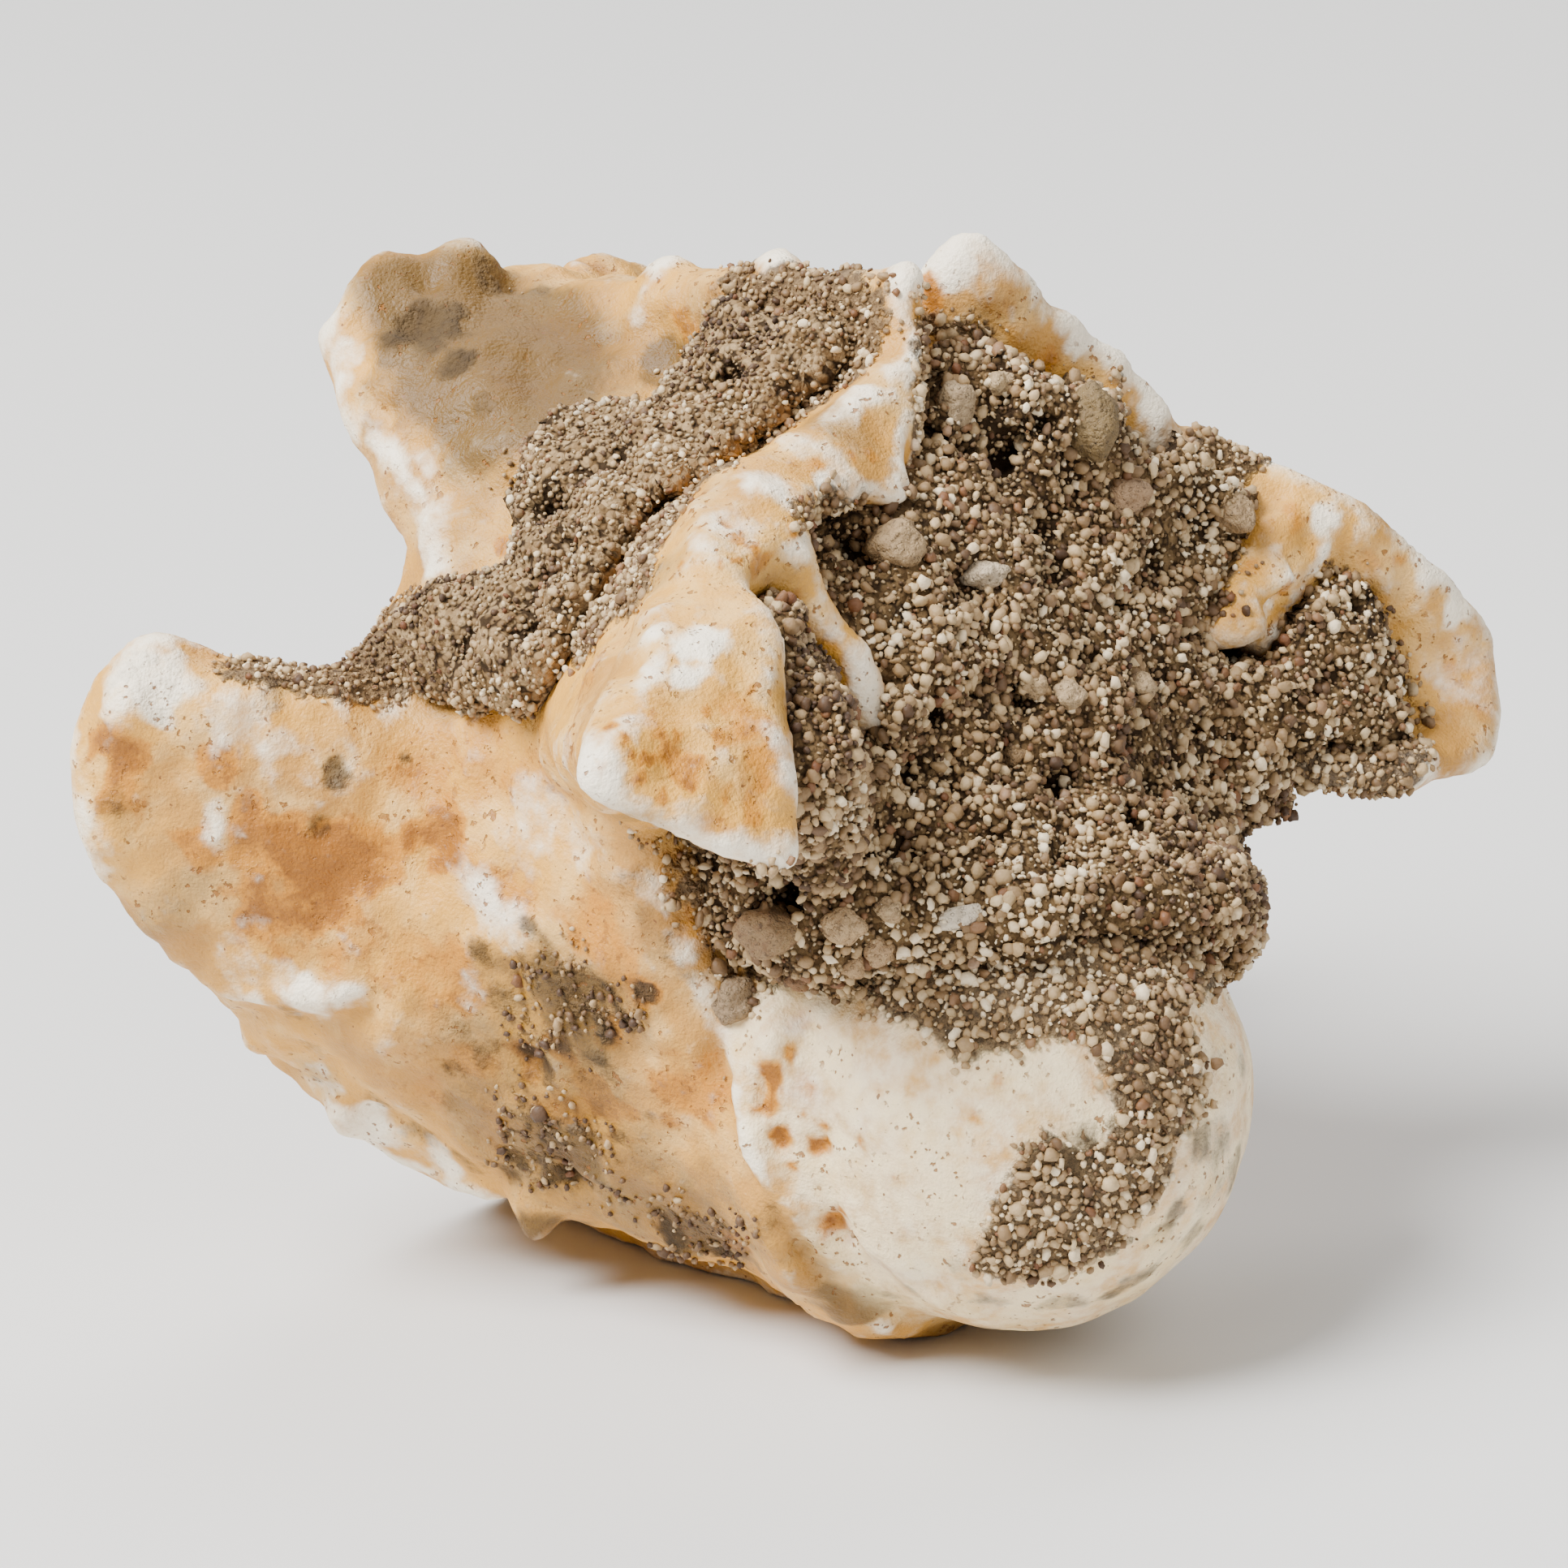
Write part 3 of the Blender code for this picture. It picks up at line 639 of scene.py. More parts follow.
# Spots on the bone, each (x, y in the picture, radius in millimetres, strength). First iron stains: those
# smaller than CRISP are as crisp as the rusty pits of the table that follows
CRISP = 0.4
OCHRE_SPOTS = [
    (350, 1040, 1.3, 0.9), (390, 1070, 1.5, 1.15), (330, 1110, 1.2, 0.85), (450, 1060, 1.1, 0.75),
    (540, 1035, 0.9, 1.1), (560, 1050, 0.5, 1.2), (250, 1040, 0.7, 0.7), (620, 1090, 1.2, 0.55),
    (145, 925, 0.9, 1.0), (155, 985, 0.8, 0.7), (280, 960, 0.9, 0.5), (560, 1200, 0.9, 0.6),
    (700, 1370, 1.2, 0.55), (850, 1350, 1.4, 0.6), (760, 1180, 1.0, 0.55), (570, 1290, 0.8, 0.6),
    (400, 1170, 0.7, 0.5), (600, 900, 1.0, 0.45), (620, 665, 0.35, 0.9), (870, 960, 0.9, 0.4),
    (835, 935, 0.6, 0.7), (810, 890, 0.8, 0.4), (905, 880, 0.8, 0.5), (935, 930, 0.7, 0.6),
    (930, 1000, 0.5, 0.55), (880, 1020, 0.6, 0.5), (1070, 560, 0.4, 0.6), (985, 580, 0.5, 0.45),
    (905, 660, 0.3, 0.7), (935, 700, 0.4, 0.6), (845, 395, 0.6, 0.8), (700, 420, 1.0, 0.5),
    (640, 470, 0.7, 0.6), (720, 430, 0.4, 0.8), (1240, 370, 0.6, 0.35), (1290, 440, 0.4, 0.6),
    (1150, 360, 0.3, 1.0), (1720, 790, 1.0, 0.3), (1790, 860, 1.0, 0.25), (1680, 690, 0.7, 0.35),
    (1800, 930, 0.8, 0.25), (1700, 985, 0.6, 0.4), (1590, 640, 0.5, 0.5), (1545, 700, 0.39, 0.6),
    (1520, 765, 0.39, 0.5), (1555, 650, 0.39, 0.4), (942, 1325, 0.36, 1.2), (940, 1360, 0.34, 1.2),
    (960, 1408, 0.34, 1.3), (1008, 1415, 0.34, 1.3), (990, 1345, 0.6, 0.6), (1026, 1508, 0.34, 1.2),
    (1044, 1530, 0.3, 1.1), (985, 1260, 0.4, 0.6), (270, 955, 0.7, 0.7), (505, 1205, 1.1, 0.5),
    (735, 1130, 1.1, 0.55), (742, 1360, 1.0, 0.75), (650, 1312, 0.6, 1.2), (692, 1290, 0.55, 1.0),
    (795, 1222, 0.55, 1.1), (748, 1268, 0.5, 0.9), (705, 1440, 0.7, 0.8), (600, 1300, 0.6, 0.6),
    (900, 1530, 0.7, 0.7), (830, 1515, 0.6, 0.7),
]
FRESH_SPOTS = [
    (752, 900, 0.2, 0.8), (780, 935, 0.2, 0.9), (803, 940, 0.24, 1.0), (830, 905, 0.2, 0.9),
    (835, 955, 0.26, 1.1), (858, 935, 0.2, 0.9), (862, 990, 0.22, 0.9), (818, 985, 0.2, 0.8),
    (800, 880, 0.2, 0.7), (870, 875, 0.2, 0.7), (900, 965, 0.2, 0.8), (915, 900, 0.2, 0.8),
    (845, 1005, 0.2, 0.7), (925, 850, 0.2, 0.6), (940, 965, 0.24, 0.9), (1000, 620, 0.2, 0.7),
    (975, 655, 0.2, 0.7), (1070, 520, 0.2, 0.8), (1050, 575, 0.2, 0.8), (1025, 545, 0.2, 0.6),
    (740, 948, 0.25, 0.9), (768, 918, 0.22, 0.8), (792, 962, 0.28, 0.9), (812, 908, 0.22, 0.9),
    (824, 932, 0.28, 1.0), (846, 968, 0.31, 1.0), (880, 905, 0.21, 0.8), (905, 935, 0.22, 0.8),
    (928, 1010, 0.22, 0.8), (890, 985, 0.2, 0.7), (898, 642, 0.2, 1.0), (912, 655, 0.2, 0.9),
    (930, 672, 0.2, 0.9), (905, 690, 0.2, 0.8), (945, 690, 0.2, 0.7), (885, 700, 0.2, 0.7),
    (862, 655, 0.2, 0.6), (840, 700, 0.2, 0.6), (1005, 572, 0.2, 0.8), (1040, 560, 0.2, 0.7),
    (1062, 585, 0.2, 0.7), (1080, 545, 0.2, 0.7), (1098, 480, 0.2, 0.6), (985, 735, 0.2, 0.6),
    (1020, 800, 0.2, 0.5), (1145, 345, 0.28, 1.0), (1152, 372, 0.25, 1.0), (1295, 446, 0.28, 0.8),
    (1250, 330, 0.22, 0.6), (1600, 645, 0.28, 0.6), (1585, 722, 0.25, 0.8), (1560, 770, 0.22, 0.6),
    (1725, 690, 0.28, 0.5), (1790, 820, 0.28, 0.5), (950, 1330, 0.2, 0.9), (975, 1300, 0.2, 0.7),
    (1000, 1345, 0.2, 0.8), (1015, 1385, 0.2, 0.8), (975, 1440, 0.2, 0.8), (1060, 1400, 0.2, 0.6),
    (1100, 1450, 0.2, 0.5), (1035, 1500, 0.22, 1.0), (1080, 1340, 0.2, 0.5), (1200, 1375, 0.2, 0.5),
    (1230, 1330, 0.2, 0.5), (990, 1372, 0.2, 0.7),
]
# Worn white patches
WHITE_SPOTS = [
    (180, 835, 1.0, 0.9), (860, 790, 0.6, 1.1), (850, 830, 0.5, 0.9), (425, 425, 0.7, 0.8),
    (520, 560, 0.8, 0.6), (545, 640, 0.9, 0.7), (545, 690, 0.7, 0.8), (365, 1225, 0.8, 0.8),
    (430, 1225, 0.5, 0.7), (610, 1120, 1.1, 0.65), (632, 1165, 0.6, 0.75), (575, 1215, 0.5, 0.6),
    (660, 1000, 1.3, 0.42), (270, 1015, 0.6, 0.6), (950, 590, 0.8, 0.8), (1040, 510, 0.6, 0.9),
    (1110, 350, 0.4, 1.0), (1015, 600, 0.4, 0.9), (990, 660, 0.4, 0.8), (1060, 800, 0.3, 0.6),
    (1190, 330, 0.6, 0.9), (1330, 420, 0.6, 1.1), (1420, 500, 0.5, 0.9), (1630, 640, 0.4, 1.0),
    (1600, 760, 0.3, 0.9), (1545, 795, 0.4, 0.7), (1800, 750, 0.5, 1.0), (1800, 835, 1.0, 0.42),
    (1010, 570, 0.7, 0.5), (1000, 1330, 0.6, 0.6), (1100, 1330, 1.0, 0.5), (1130, 1560, 0.6, 0.9),
    (480, 860, 0.6, 0.5), (300, 885, 1.0, 0.55), (335, 925, 0.8, 0.5), (430, 950, 0.7, 0.4),
    (300, 1180, 1.1, 0.42), (400, 1330, 1.0, 0.7), (470, 1385, 0.9, 0.85), (540, 1435, 0.8, 0.9),
    (720, 1040, 0.9, 0.35), (450, 1400, 0.5, 0.9), (505, 1435, 0.5, 0.9), (565, 1462, 0.5, 0.8),
    (985, 680, 0.6, 0.9), (900, 650, 0.8, 0.5),
]
# Dark dirt, and painted shade on the ball's low side and the body's low edge
DIRT_AND_SHADE_SPOTS = [
    (525, 400, 1.0, 0.85), (515, 385, 0.8, 0.7), (550, 450, 0.6, 0.8), (600, 500, 0.5, 0.45),
    (600, 335, 0.6, 0.55), (680, 360, 0.8, 0.45), (870, 380, 0.6, 0.5), (414, 948, 0.5, 1.0),
    (398, 1018, 0.38, 1.1), (500, 938, 0.22, 0.9), (150, 1000, 0.35, 0.5), (355, 1250, 0.5, 0.45),
    (590, 1180, 0.5, 0.8), (650, 1140, 0.4, 0.8), (560, 1310, 0.5, 0.6), (660, 1312, 0.55, 1.1),
    (705, 1458, 0.6, 1.2), (900, 1545, 0.65, 1.1), (780, 1100, 0.6, 0.4), (1320, 1420, 0.9, 0.6),
    (795, 1222, 0.35, 1.1), (770, 1250, 0.3, 0.7), (645, 1185, 0.4, 0.6), (740, 1300, 0.4, 0.7),
    (600, 1290, 0.5, 0.6), (620, 1440, 0.5, 0.7), (830, 1512, 0.5, 0.8), (700, 1285, 0.3, 0.9),
    (720, 1190, 0.3, 0.6), (760, 1400, 0.3, 0.6), (800, 1375, 0.25, 0.5), (690, 1385, 0.3, 0.6),
    (1500, 1400, 0.7, 0.55), (1430, 1520, 0.6, 0.4), (1220, 1640, 0.6, 0.5), (1100, 1600, 0.4, 0.5),
    (1440, 1510, 0.3, 0.7), (950, 1500, 0.4, 0.4), (700, 1220, 1.2, 0.45), (740, 1320, 0.9, 0.45),
    (1510, 1300, 0.8, 0.35), (1500, 1450, 0.8, 0.4), (330, 860, 0.7, 0.45), (240, 840, 0.5, 0.4),
    (850, 1180, 0.7, 0.5), (660, 1400, 1.2, 0.45), (1220, 1600, 0.7, 0.55), (1310, 1605, 0.8, 0.6),
    (1400, 1575, 0.8, 0.6), (1470, 1520, 0.7, 0.6), (1520, 1440, 0.7, 0.55), (1480, 1400, 0.6, 0.7),
    (1130, 1590, 0.5, 0.45), (1530, 1330, 0.5, 0.5), (1450, 1490, 0.4, 0.7), (1370, 1595, 0.4, 0.7),
    (1180, 1560, 0.5, 0.4), (390, 1300, 0.7, 0.42), (470, 1360, 0.8, 0.46), (520, 1405, 0.7, 0.48),
    (580, 1440, 0.6, 0.5), (748, 1268, 0.32, 0.9), (692, 1289, 0.3, 0.9), (832, 1527, 0.45, 0.9),
    (629, 1422, 0.45, 0.7), (748, 1226, 0.4, 0.6), (610, 1230, 0.5, 0.5), (560, 1250, 0.6, 0.4),
    (175, 835, 1.2, 0.34), (440, 1350, 0.5, 0.5), (510, 1400, 0.4, 0.55), (380, 1325, 0.4, 0.5),
]
# Earth stains, and painted shade below the ball and on the body's low side
BROWN_AND_SHADE_SPOTS = [
    (676, 1520, 1.0, 1.1), (700, 1230, 1.3, 1.0), (730, 1280, 0.8, 0.8), (780, 1400, 1.2, 0.45),
    (700, 1420, 1.3, 0.9), (850, 1520, 1.2, 0.85), (600, 1330, 1.1, 0.6), (530, 420, 1.7, 1.0),
    (600, 480, 1.3, 0.8), (470, 470, 1.0, 0.6), (700, 420, 1.6, 0.65), (815, 435, 0.7, 1.1),
    (800, 470, 0.5, 0.8), (640, 380, 1.0, 0.7), (560, 560, 0.8, 0.5), (430, 1300, 0.9, 0.3),
    (580, 1370, 0.9, 0.6), (640, 1240, 1.5, 0.6), (660, 1420, 1.4, 0.6), (1180, 1645, 1.6, 0.4),
    (1040, 1605, 1.1, 0.75), (900, 1540, 1.0, 0.7), (150, 1000, 0.6, 0.5), (350, 850, 0.8, 0.4),
    (560, 860, 0.8, 0.4), (820, 1160, 0.8, 0.5), (1000, 1540, 0.6, 0.4),
]
# Holes pressed into the bone
PIT_SPOTS = [
    (940, 1335, 0.26, 1.0), (938, 1362, 0.2, 0.8), (963, 1405, 0.24, 1.0), (1008, 1412, 0.24, 1.0),
    (1022, 1505, 0.26, 0.9), (1040, 1530, 0.24, 0.8), (655, 1310, 0.45, 1.0), (705, 1455, 0.45, 1.0),
    (515, 400, 0.6, 0.9), (398, 1020, 0.22, 0.8), (414, 948, 0.3, 0.6), (900, 640, 0.16, 1.0),
    (925, 660, 0.14, 0.8), (1045, 1472, 0.2, 0.6), (1200, 1372, 0.12, 0.6), (990, 1540, 0.2, 0.7),
    (842, 925, 0.2, 0.7), (825, 955, 0.22, 0.7), (850, 965, 0.18, 0.7), (1680, 740, 0.4, 0.9),
]

# Paths of thin raised edges: (height, half width in millimetres, whiteness, path in the picture)
EDGE_STROKES = [
    (0.24, 0.11, 0.95, [(904, 1292), (913, 1365), (932, 1419), (958, 1473), (990, 1512), (1030, 1560)]),
    (0.16, 0.14, 0.7, [(1044, 1473), (1060, 1512), (1076, 1537), (1111, 1560), (1127, 1585), (1200, 1617)]),
    (0.14, 0.14, 0.9, [(885, 1575), (960, 1597), (1040, 1612), (1120, 1634)]),
    (0.10, 0.20, 0.8, [(800, 1090), (850, 1200), (905, 1300)]),
    (0.06, 0.10, 0.8, [(1000, 640), (1030, 715), (1065, 800), (1100, 870)]),
    (0.06, 0.40, 0.0, [(1585, 660), (1575, 705), (1550, 755)]),
    (0.08, 0.12, 0.9, [(1650, 640), (1618, 700), (1584, 757), (1562, 793), (1540, 810)]),
    (0.10, 0.25, 1.0, [(1215, 300), (1300, 385), (1370, 430), (1430, 515)]),
    (0.05, 0.25, 1.0, [(1690, 600), (1760, 680), (1830, 770)]),
    (0.18, 0.20, 0.9, [(290, 1222), (360, 1226), (440, 1222)]),
    (0.14, 0.26, 1.0, [(415, 1370), (455, 1405), (510, 1440), (600, 1475)]),
    (0.14, 0.22, 0.9, [(402, 415), (440, 500), (500, 590), (540, 680)]),
    (0.12, 0.15, 1.0, [(725, 962), (790, 1000), (870, 1030), (960, 1068)]),
    (0.12, 0.16, 0.9, [(1020, 590), (1060, 607), (1100, 600), (1112, 520), (1118, 420), (1105, 340)]),
    (0.10, 0.16, 0.6, [(935, 745), (948, 850), (955, 960), (968, 1060)]),
    (0.12, 0.20, 0.8, [(780, 440), (790, 400), (830, 330)]),
    (0.10, 0.20, 0.7, [(815, 760), (800, 850), (760, 930)]),
]

# The smooth pale skin of the ball
BALL_OUTLINE = [
    (900, 1235), (904, 1292), (913, 1365), (932, 1419), (958, 1473), (990, 1512), (1030, 1560),
    (1100, 1600), (1200, 1630), (1350, 1625), (1480, 1560), (1580, 1400), (1580, 1130), (1000, 1130),
]

# Paths of grooves: (depth, half width in millimetres, path in the picture)
GROOVE_STROKES = [
    (0.16, 0.22, [(885, 1300), (893, 1370), (912, 1430), (940, 1485), (975, 1530), (1015, 1580)]),
    (0.10, 0.16, [(1020, 1440), (1035, 1500), (1055, 1545), (1095, 1580), (1115, 1605)]),
    (0.12, 0.16, [(930, 1300), (942, 1370), (960, 1420), (990, 1475)]),
    (0.14, 0.25, [(300, 1255), (370, 1262), (450, 1255)]),
    (0.10, 0.25, [(330, 1320), (420, 1350), (520, 1400)]),
    (0.10, 0.20, [(830, 420), (815, 470), (790, 500)]),
]

# Where the solid is drawn out a little: (x, y, radius in millimetres, shift across and down in pixels)
PULLS = [
    (1075, 560, 0.9, 34, 44), (1035, 590, 0.5, 0, 22), (1108, 850, 0.4, -8, 0), (1098, 880, 0.4, 6, 10),
    (1110, 420, 0.7, 14, 0), (1562, 705, 0.55, 26, 4), (1528, 765, 0.5, 24, 4), (657, 1485, 0.62, -4, 40),
    (478, 330, 0.8, -8, -24), (1106, 350, 0.6, 14, -16), (1160, 350, 0.8, -30, -10),
    (578, 322, 0.8, 4, -22), (527, 345, 0.35, 0, 16), (632, 348, 0.45, 0, 16), (738, 320, 0.5, 0, 16),
    (1340, 440, 0.7, 10, -8), (1375, 480, 0.8, 20, -16), (1410, 515, 0.7, 16, -10),
    (1200, 305, 0.8, 0, -16), (1320, 400, 0.6, 10, -10), (830, 325, 0.5, 0, -12), (890, 335, 0.4, 0, 6),
    (965, 320, 0.5, 0, -12), (300, 1290, 0.5, -8, 10), (430, 1365, 0.45, -10, 14),
    (1095, 330, 0.5, 6, -8),
]

# Where the bone is whole and the solid is notched: depth below the plane through three places, those places
# and the outline
NOTCHES = [
    (0.0, [(1560, 705), (1522, 775), (1620, 650)], [
        (1545, 640), (1655, 640), (1640, 672), (1623, 700), (1609, 729), (1587, 757), (1566, 793),
        (1544, 814), (1512, 800), (1518, 740), (1535, 690),
    ]),
    (0.35, [(1560, 705), (1522, 775), (1705, 800)], [
        (1623, 698), (1665, 698), (1700, 740), (1712, 830), (1650, 860), (1560, 850), (1535, 815),
        (1566, 793), (1587, 757), (1609, 729),
    ]),
]


class BoneSettings(bpy.types.PropertyGroup):
    fineness: FloatProperty(
        name="Fineness", description="Size of the bone's mesh faces", default=0.000165, unit="LENGTH"
    )
    relief: FloatProperty(
        name="Relief", description="Height of the bone's small lumps", default=0.00012, unit="LENGTH"
    )
    cream: FloatVectorProperty(
        name="Cream", description="Clean bone", default=(0.68, 0.335, 0.046), subtype="COLOR"
    )
    tan: FloatVectorProperty(
        name="Tan", description="Darker clean bone", default=(0.48, 0.23, 0.04), subtype="COLOR"
    )
    pale: FloatVectorProperty(
        name="Pale", description="Bleached bone", default=(0.85, 0.57, 0.22), subtype="COLOR"
    )
    amber: FloatVectorProperty(
        name="Amber", description="Light iron stain", default=(0.50, 0.19, 0.006), subtype="COLOR"
    )
    ochre: FloatVectorProperty(
        name="Ochre", description="Strong iron stain", default=(0.25, 0.082, 0.001), subtype="COLOR"
    )
    # Earth stain, also the colour of painted shade below the ball
    brown: FloatVectorProperty(
        name="Brown", description="Earth stain", default=(0.098, 0.048, 0.003), subtype="COLOR"
    )
    white: FloatVectorProperty(
        name="White", description="Worn edges", default=(0.97, 0.88, 0.70), subtype="COLOR"
    )
    ivory: FloatVectorProperty(
        name="Ivory", description="Smooth skin of the ball", default=(0.96, 0.76, 0.40), subtype="COLOR"
    )
    pore: FloatVectorProperty(
        name="Pore", description="Inside of the pores", default=(0.16, 0.055, 0.010), subtype="COLOR"
    )
    # Grime and dust colour both the dirt and the painted shade in hollows and low places
    grime: FloatVectorProperty(
        name="Grime", description="Dark dirt in hollows", default=(0.020, 0.012, 0.005), subtype="COLOR"
    )
    dust: FloatVectorProperty(
        name="Dust", description="Pale dirt in hollows", default=(0.062, 0.036, 0.012), subtype="COLOR"
    )


class SandSettings(bpy.types.PropertyGroup):
    spacing: FloatProperty(
        name="Spacing", description="Distance between coarse grains", default=0.000146, unit="LENGTH"
    )
    smallest: FloatProperty(
        name="Smallest", description="Smallest coarse grain", default=0.00011, unit="LENGTH"
    )
    largest: FloatProperty(
        name="Largest", description="Largest coarse grain", default=0.000275, unit="LENGTH"
    )
    seed: IntProperty(name="Seed", description="Another seed lays the grains differently", default=5)
    gap: FloatVectorProperty(
        name="Gap", description="Shadow between grains", default=(0.022, 0.011, 0.004), subtype="COLOR"
    )
    # The beds' colours are darkened: painted shade between and below the grains
    bed: FloatVectorProperty(
        name="Bed", description="Packed sand below the grains", default=(0.080, 0.045, 0.018), subtype="COLOR"
    )
    pale_bed: FloatVectorProperty(
        name="Pale bed", description="Packed sand with more lime", default=(0.18, 0.112, 0.050),
        subtype="COLOR",
    )
    side_bed: FloatVectorProperty(
        name="Side bed", description="Packed sand in the trough", default=(0.17, 0.102, 0.044),
        subtype="COLOR",
    )
    pale_side_bed: FloatVectorProperty(
        name="Pale side bed", description="Packed sand with more lime there",
        default=(0.35, 0.235, 0.120), subtype="COLOR",
    )


class StageSettings(bpy.types.PropertyGroup):
    floor: FloatVectorProperty(
        name="Floor", description="Colour of the floor", default=(0.68, 0.67, 0.65), subtype="COLOR"
    )
    strength: FloatProperty(
        name="Light", description="Strength of the studio lights", default=1.0, min=0.0
    )


class VertebraSettings(bpy.types.PropertyGroup):
    bone: PointerProperty(type=BoneSettings)
    sand: PointerProperty(type=SandSettings)
    stage: PointerProperty(type=StageSettings)


# Where the sand has deep hollows between its grains, which are also painted with shade: (x, y in the picture,
# radius in millimetres, strength)
SAND_HOLLOWS = [
    (1050, 668, 0.55, 1.2), (1245, 555, 0.6, 1.0), (1264, 862, 0.4, 1.0), (1128, 950, 0.5, 1.1),
    (1306, 965, 0.4, 1.0), (1190, 545, 0.35, 0.8), (1425, 690, 0.35, 0.8), (1380, 740, 0.3, 0.7),
    (1290, 520, 0.4, 0.7), (965, 1110, 0.55, 1.0), (1245, 930, 0.35, 0.7), (1310, 950, 0.35, 0.7),
    (1150, 530, 0.3, 0.8), (1010, 760, 0.5, 0.6), (1210, 850, 0.3, 0.7), (1150, 880, 0.35, 0.7),
    (1600, 930, 0.5, 0.6), (1480, 900, 0.4, 0.5), (1400, 1010, 0.5, 0.5), (1210, 430, 0.35, 0.7),
    (1170, 830, 0.3, 0.6), (680, 625, 0.5, 0.8), (690, 665, 0.4, 0.8), (760, 560, 0.4, 0.5),
    (470, 830, 0.45, 0.9), (640, 770, 0.4, 0.5), (900, 470, 0.45, 0.6), (960, 370, 0.4, 0.7),
    (1680, 740, 0.4, 0.8),
]

# Where the sand stands higher than its solid: (x, y in the picture, radius and height in millimetres)
SAND_RISES = [
    (1015, 800, 1.0, 0.9), (1040, 880, 1.1, 0.9), (1030, 960, 1.0, 0.5), (1140, 800, 1.1, 0.5),
    (1125, 700, 0.7, 0.3), (1000, 768, 0.5, 0.9), (1108, 882, 0.5, 1.0),
]

# Where the grains are paler or darker: (x, y, radius in millimetres, change of tone)
SAND_TONES = [
    (1180, 1170, 2.4, 0.3), (1300, 1190, 2.2, 0.22), (1490, 1120, 2.2, -0.22), (1450, 1300, 1.6, -0.12),
    (1470, 640, 2.2, 0.16), (980, 880, 2.2, -0.38), (925, 400, 2.4, -0.4), (1200, 520, 1.6, -0.14),
    (500, 800, 2.4, -0.32), (820, 520, 1.2, -0.1), (1350, 1500, 1.8, -0.08), (1640, 850, 2.4, 0.1),
]


def seen_spots(view, spots):
    """The spots with their places in the picture turned into points on what the camera sees."""
    return [(view.hit(x, y), radius, strength) for x, y, radius, strength in spots]


def sand_covers(skin, view):
    """From 0 to 1: how thickly coarse and middling grains cover each point, as the outlines say."""
    places = picture_places(skin.points)
    places = places + wander(skin.points, 0.7, 21, 22) * 26.0
    ragged = lumps(skin.points, 0.5, 23)
    facing = skin.faces_camera(0.25)
    covers = np.zeros((2, len(places)))
    for coarse, middling, outline in SAND_OUTLINES.values():
        inside = inside_outline(places, outline) & facing
        for cover, share in zip(covers, (coarse, middling)):
            np.maximum(cover, share * inside * smoothstep(ragged + 1.4 * share, -0.1, 0.7), out=cover)
    covers *= ~inside_bare(skin.points)
    candidates = np.flatnonzero(covers.max(axis=0) > 0.02)
    hidden = candidates[~view.seen(skin.points[candidates])]
    covers[:, hidden] = 0.0
    return [skin.averaged(cover, 2) for cover in covers]


def hidden_hollows(skin, view):
    """From 0 to 1: sand left in the hollows that the camera doesn't see."""
    points = skin.points
    patches = lumps(points, 1.6, 31) + 0.5 * lumps(points, 0.6, 32)
    hollow = smoothstep(-skin.bulge(40) + 0.12 * patches, 0.12, 0.22)
    off_axis = np.hypot(points[:, 0], points[:, 2] - CANAL_HEIGHT)
    hollow = np.maximum(hollow, (off_axis < 1.8) & (points[:, 1] > 3.0))
    off_axis = np.hypot(points[:, 0] / 4.6, (points[:, 2] - CUP_HEIGHT) / 4.2)
    cup = (off_axis < 0.8) & (points[:, 1] > 8.5) & (skin.normals[:, 1] > 0.2)
    hollow = np.maximum(hollow, cup * smoothstep(patches - 0.9 * off_axis, -0.55, -0.3))
    candidates = np.flatnonzero(hollow > 0.02)
    unseen = np.zeros(len(points))
    unseen[candidates] = ~view.seen(points[candidates])
    return skin.averaged(hollow * unseen, 1)


# A notch is never deeper than this, in millimetres: what lies deeper is another part of the bone
DEEPEST_NOTCH = 3.0


def fill_notch(skin, below, places, outline):
    """Brings the skin inside the outline up to the plane through what the camera sees at three places."""
    view = Sight(skin)
    first, second, third = (view.hit(x, y) for x, y in places)
    across = (second - first).cross(third - first).normalized()
    inside = inside_outline(picture_places(skin.points), outline) & skin.faces_camera(0.2)
    shift = np.zeros(len(inside))
    for index in np.flatnonzero(inside):
        ray = Vector(skin.points[index]) - EYE
        level = (first - EYE).dot(across) / ray.normalized().dot(across)
        shift[index] = max(0.0, ray.length - level - below)
    shift[shift > DEEPEST_NOTCH] = 0.0
    skin.points -= skin.averaged(shift, 2)[:, None] * np.array(AWAY)
    weight = skin.averaged((shift > 0.1).astype(float), 4)[:, None]
    skin.points += (skin.averaged_vectors(skin.points, 6) - skin.points) * weight
    skin.write()


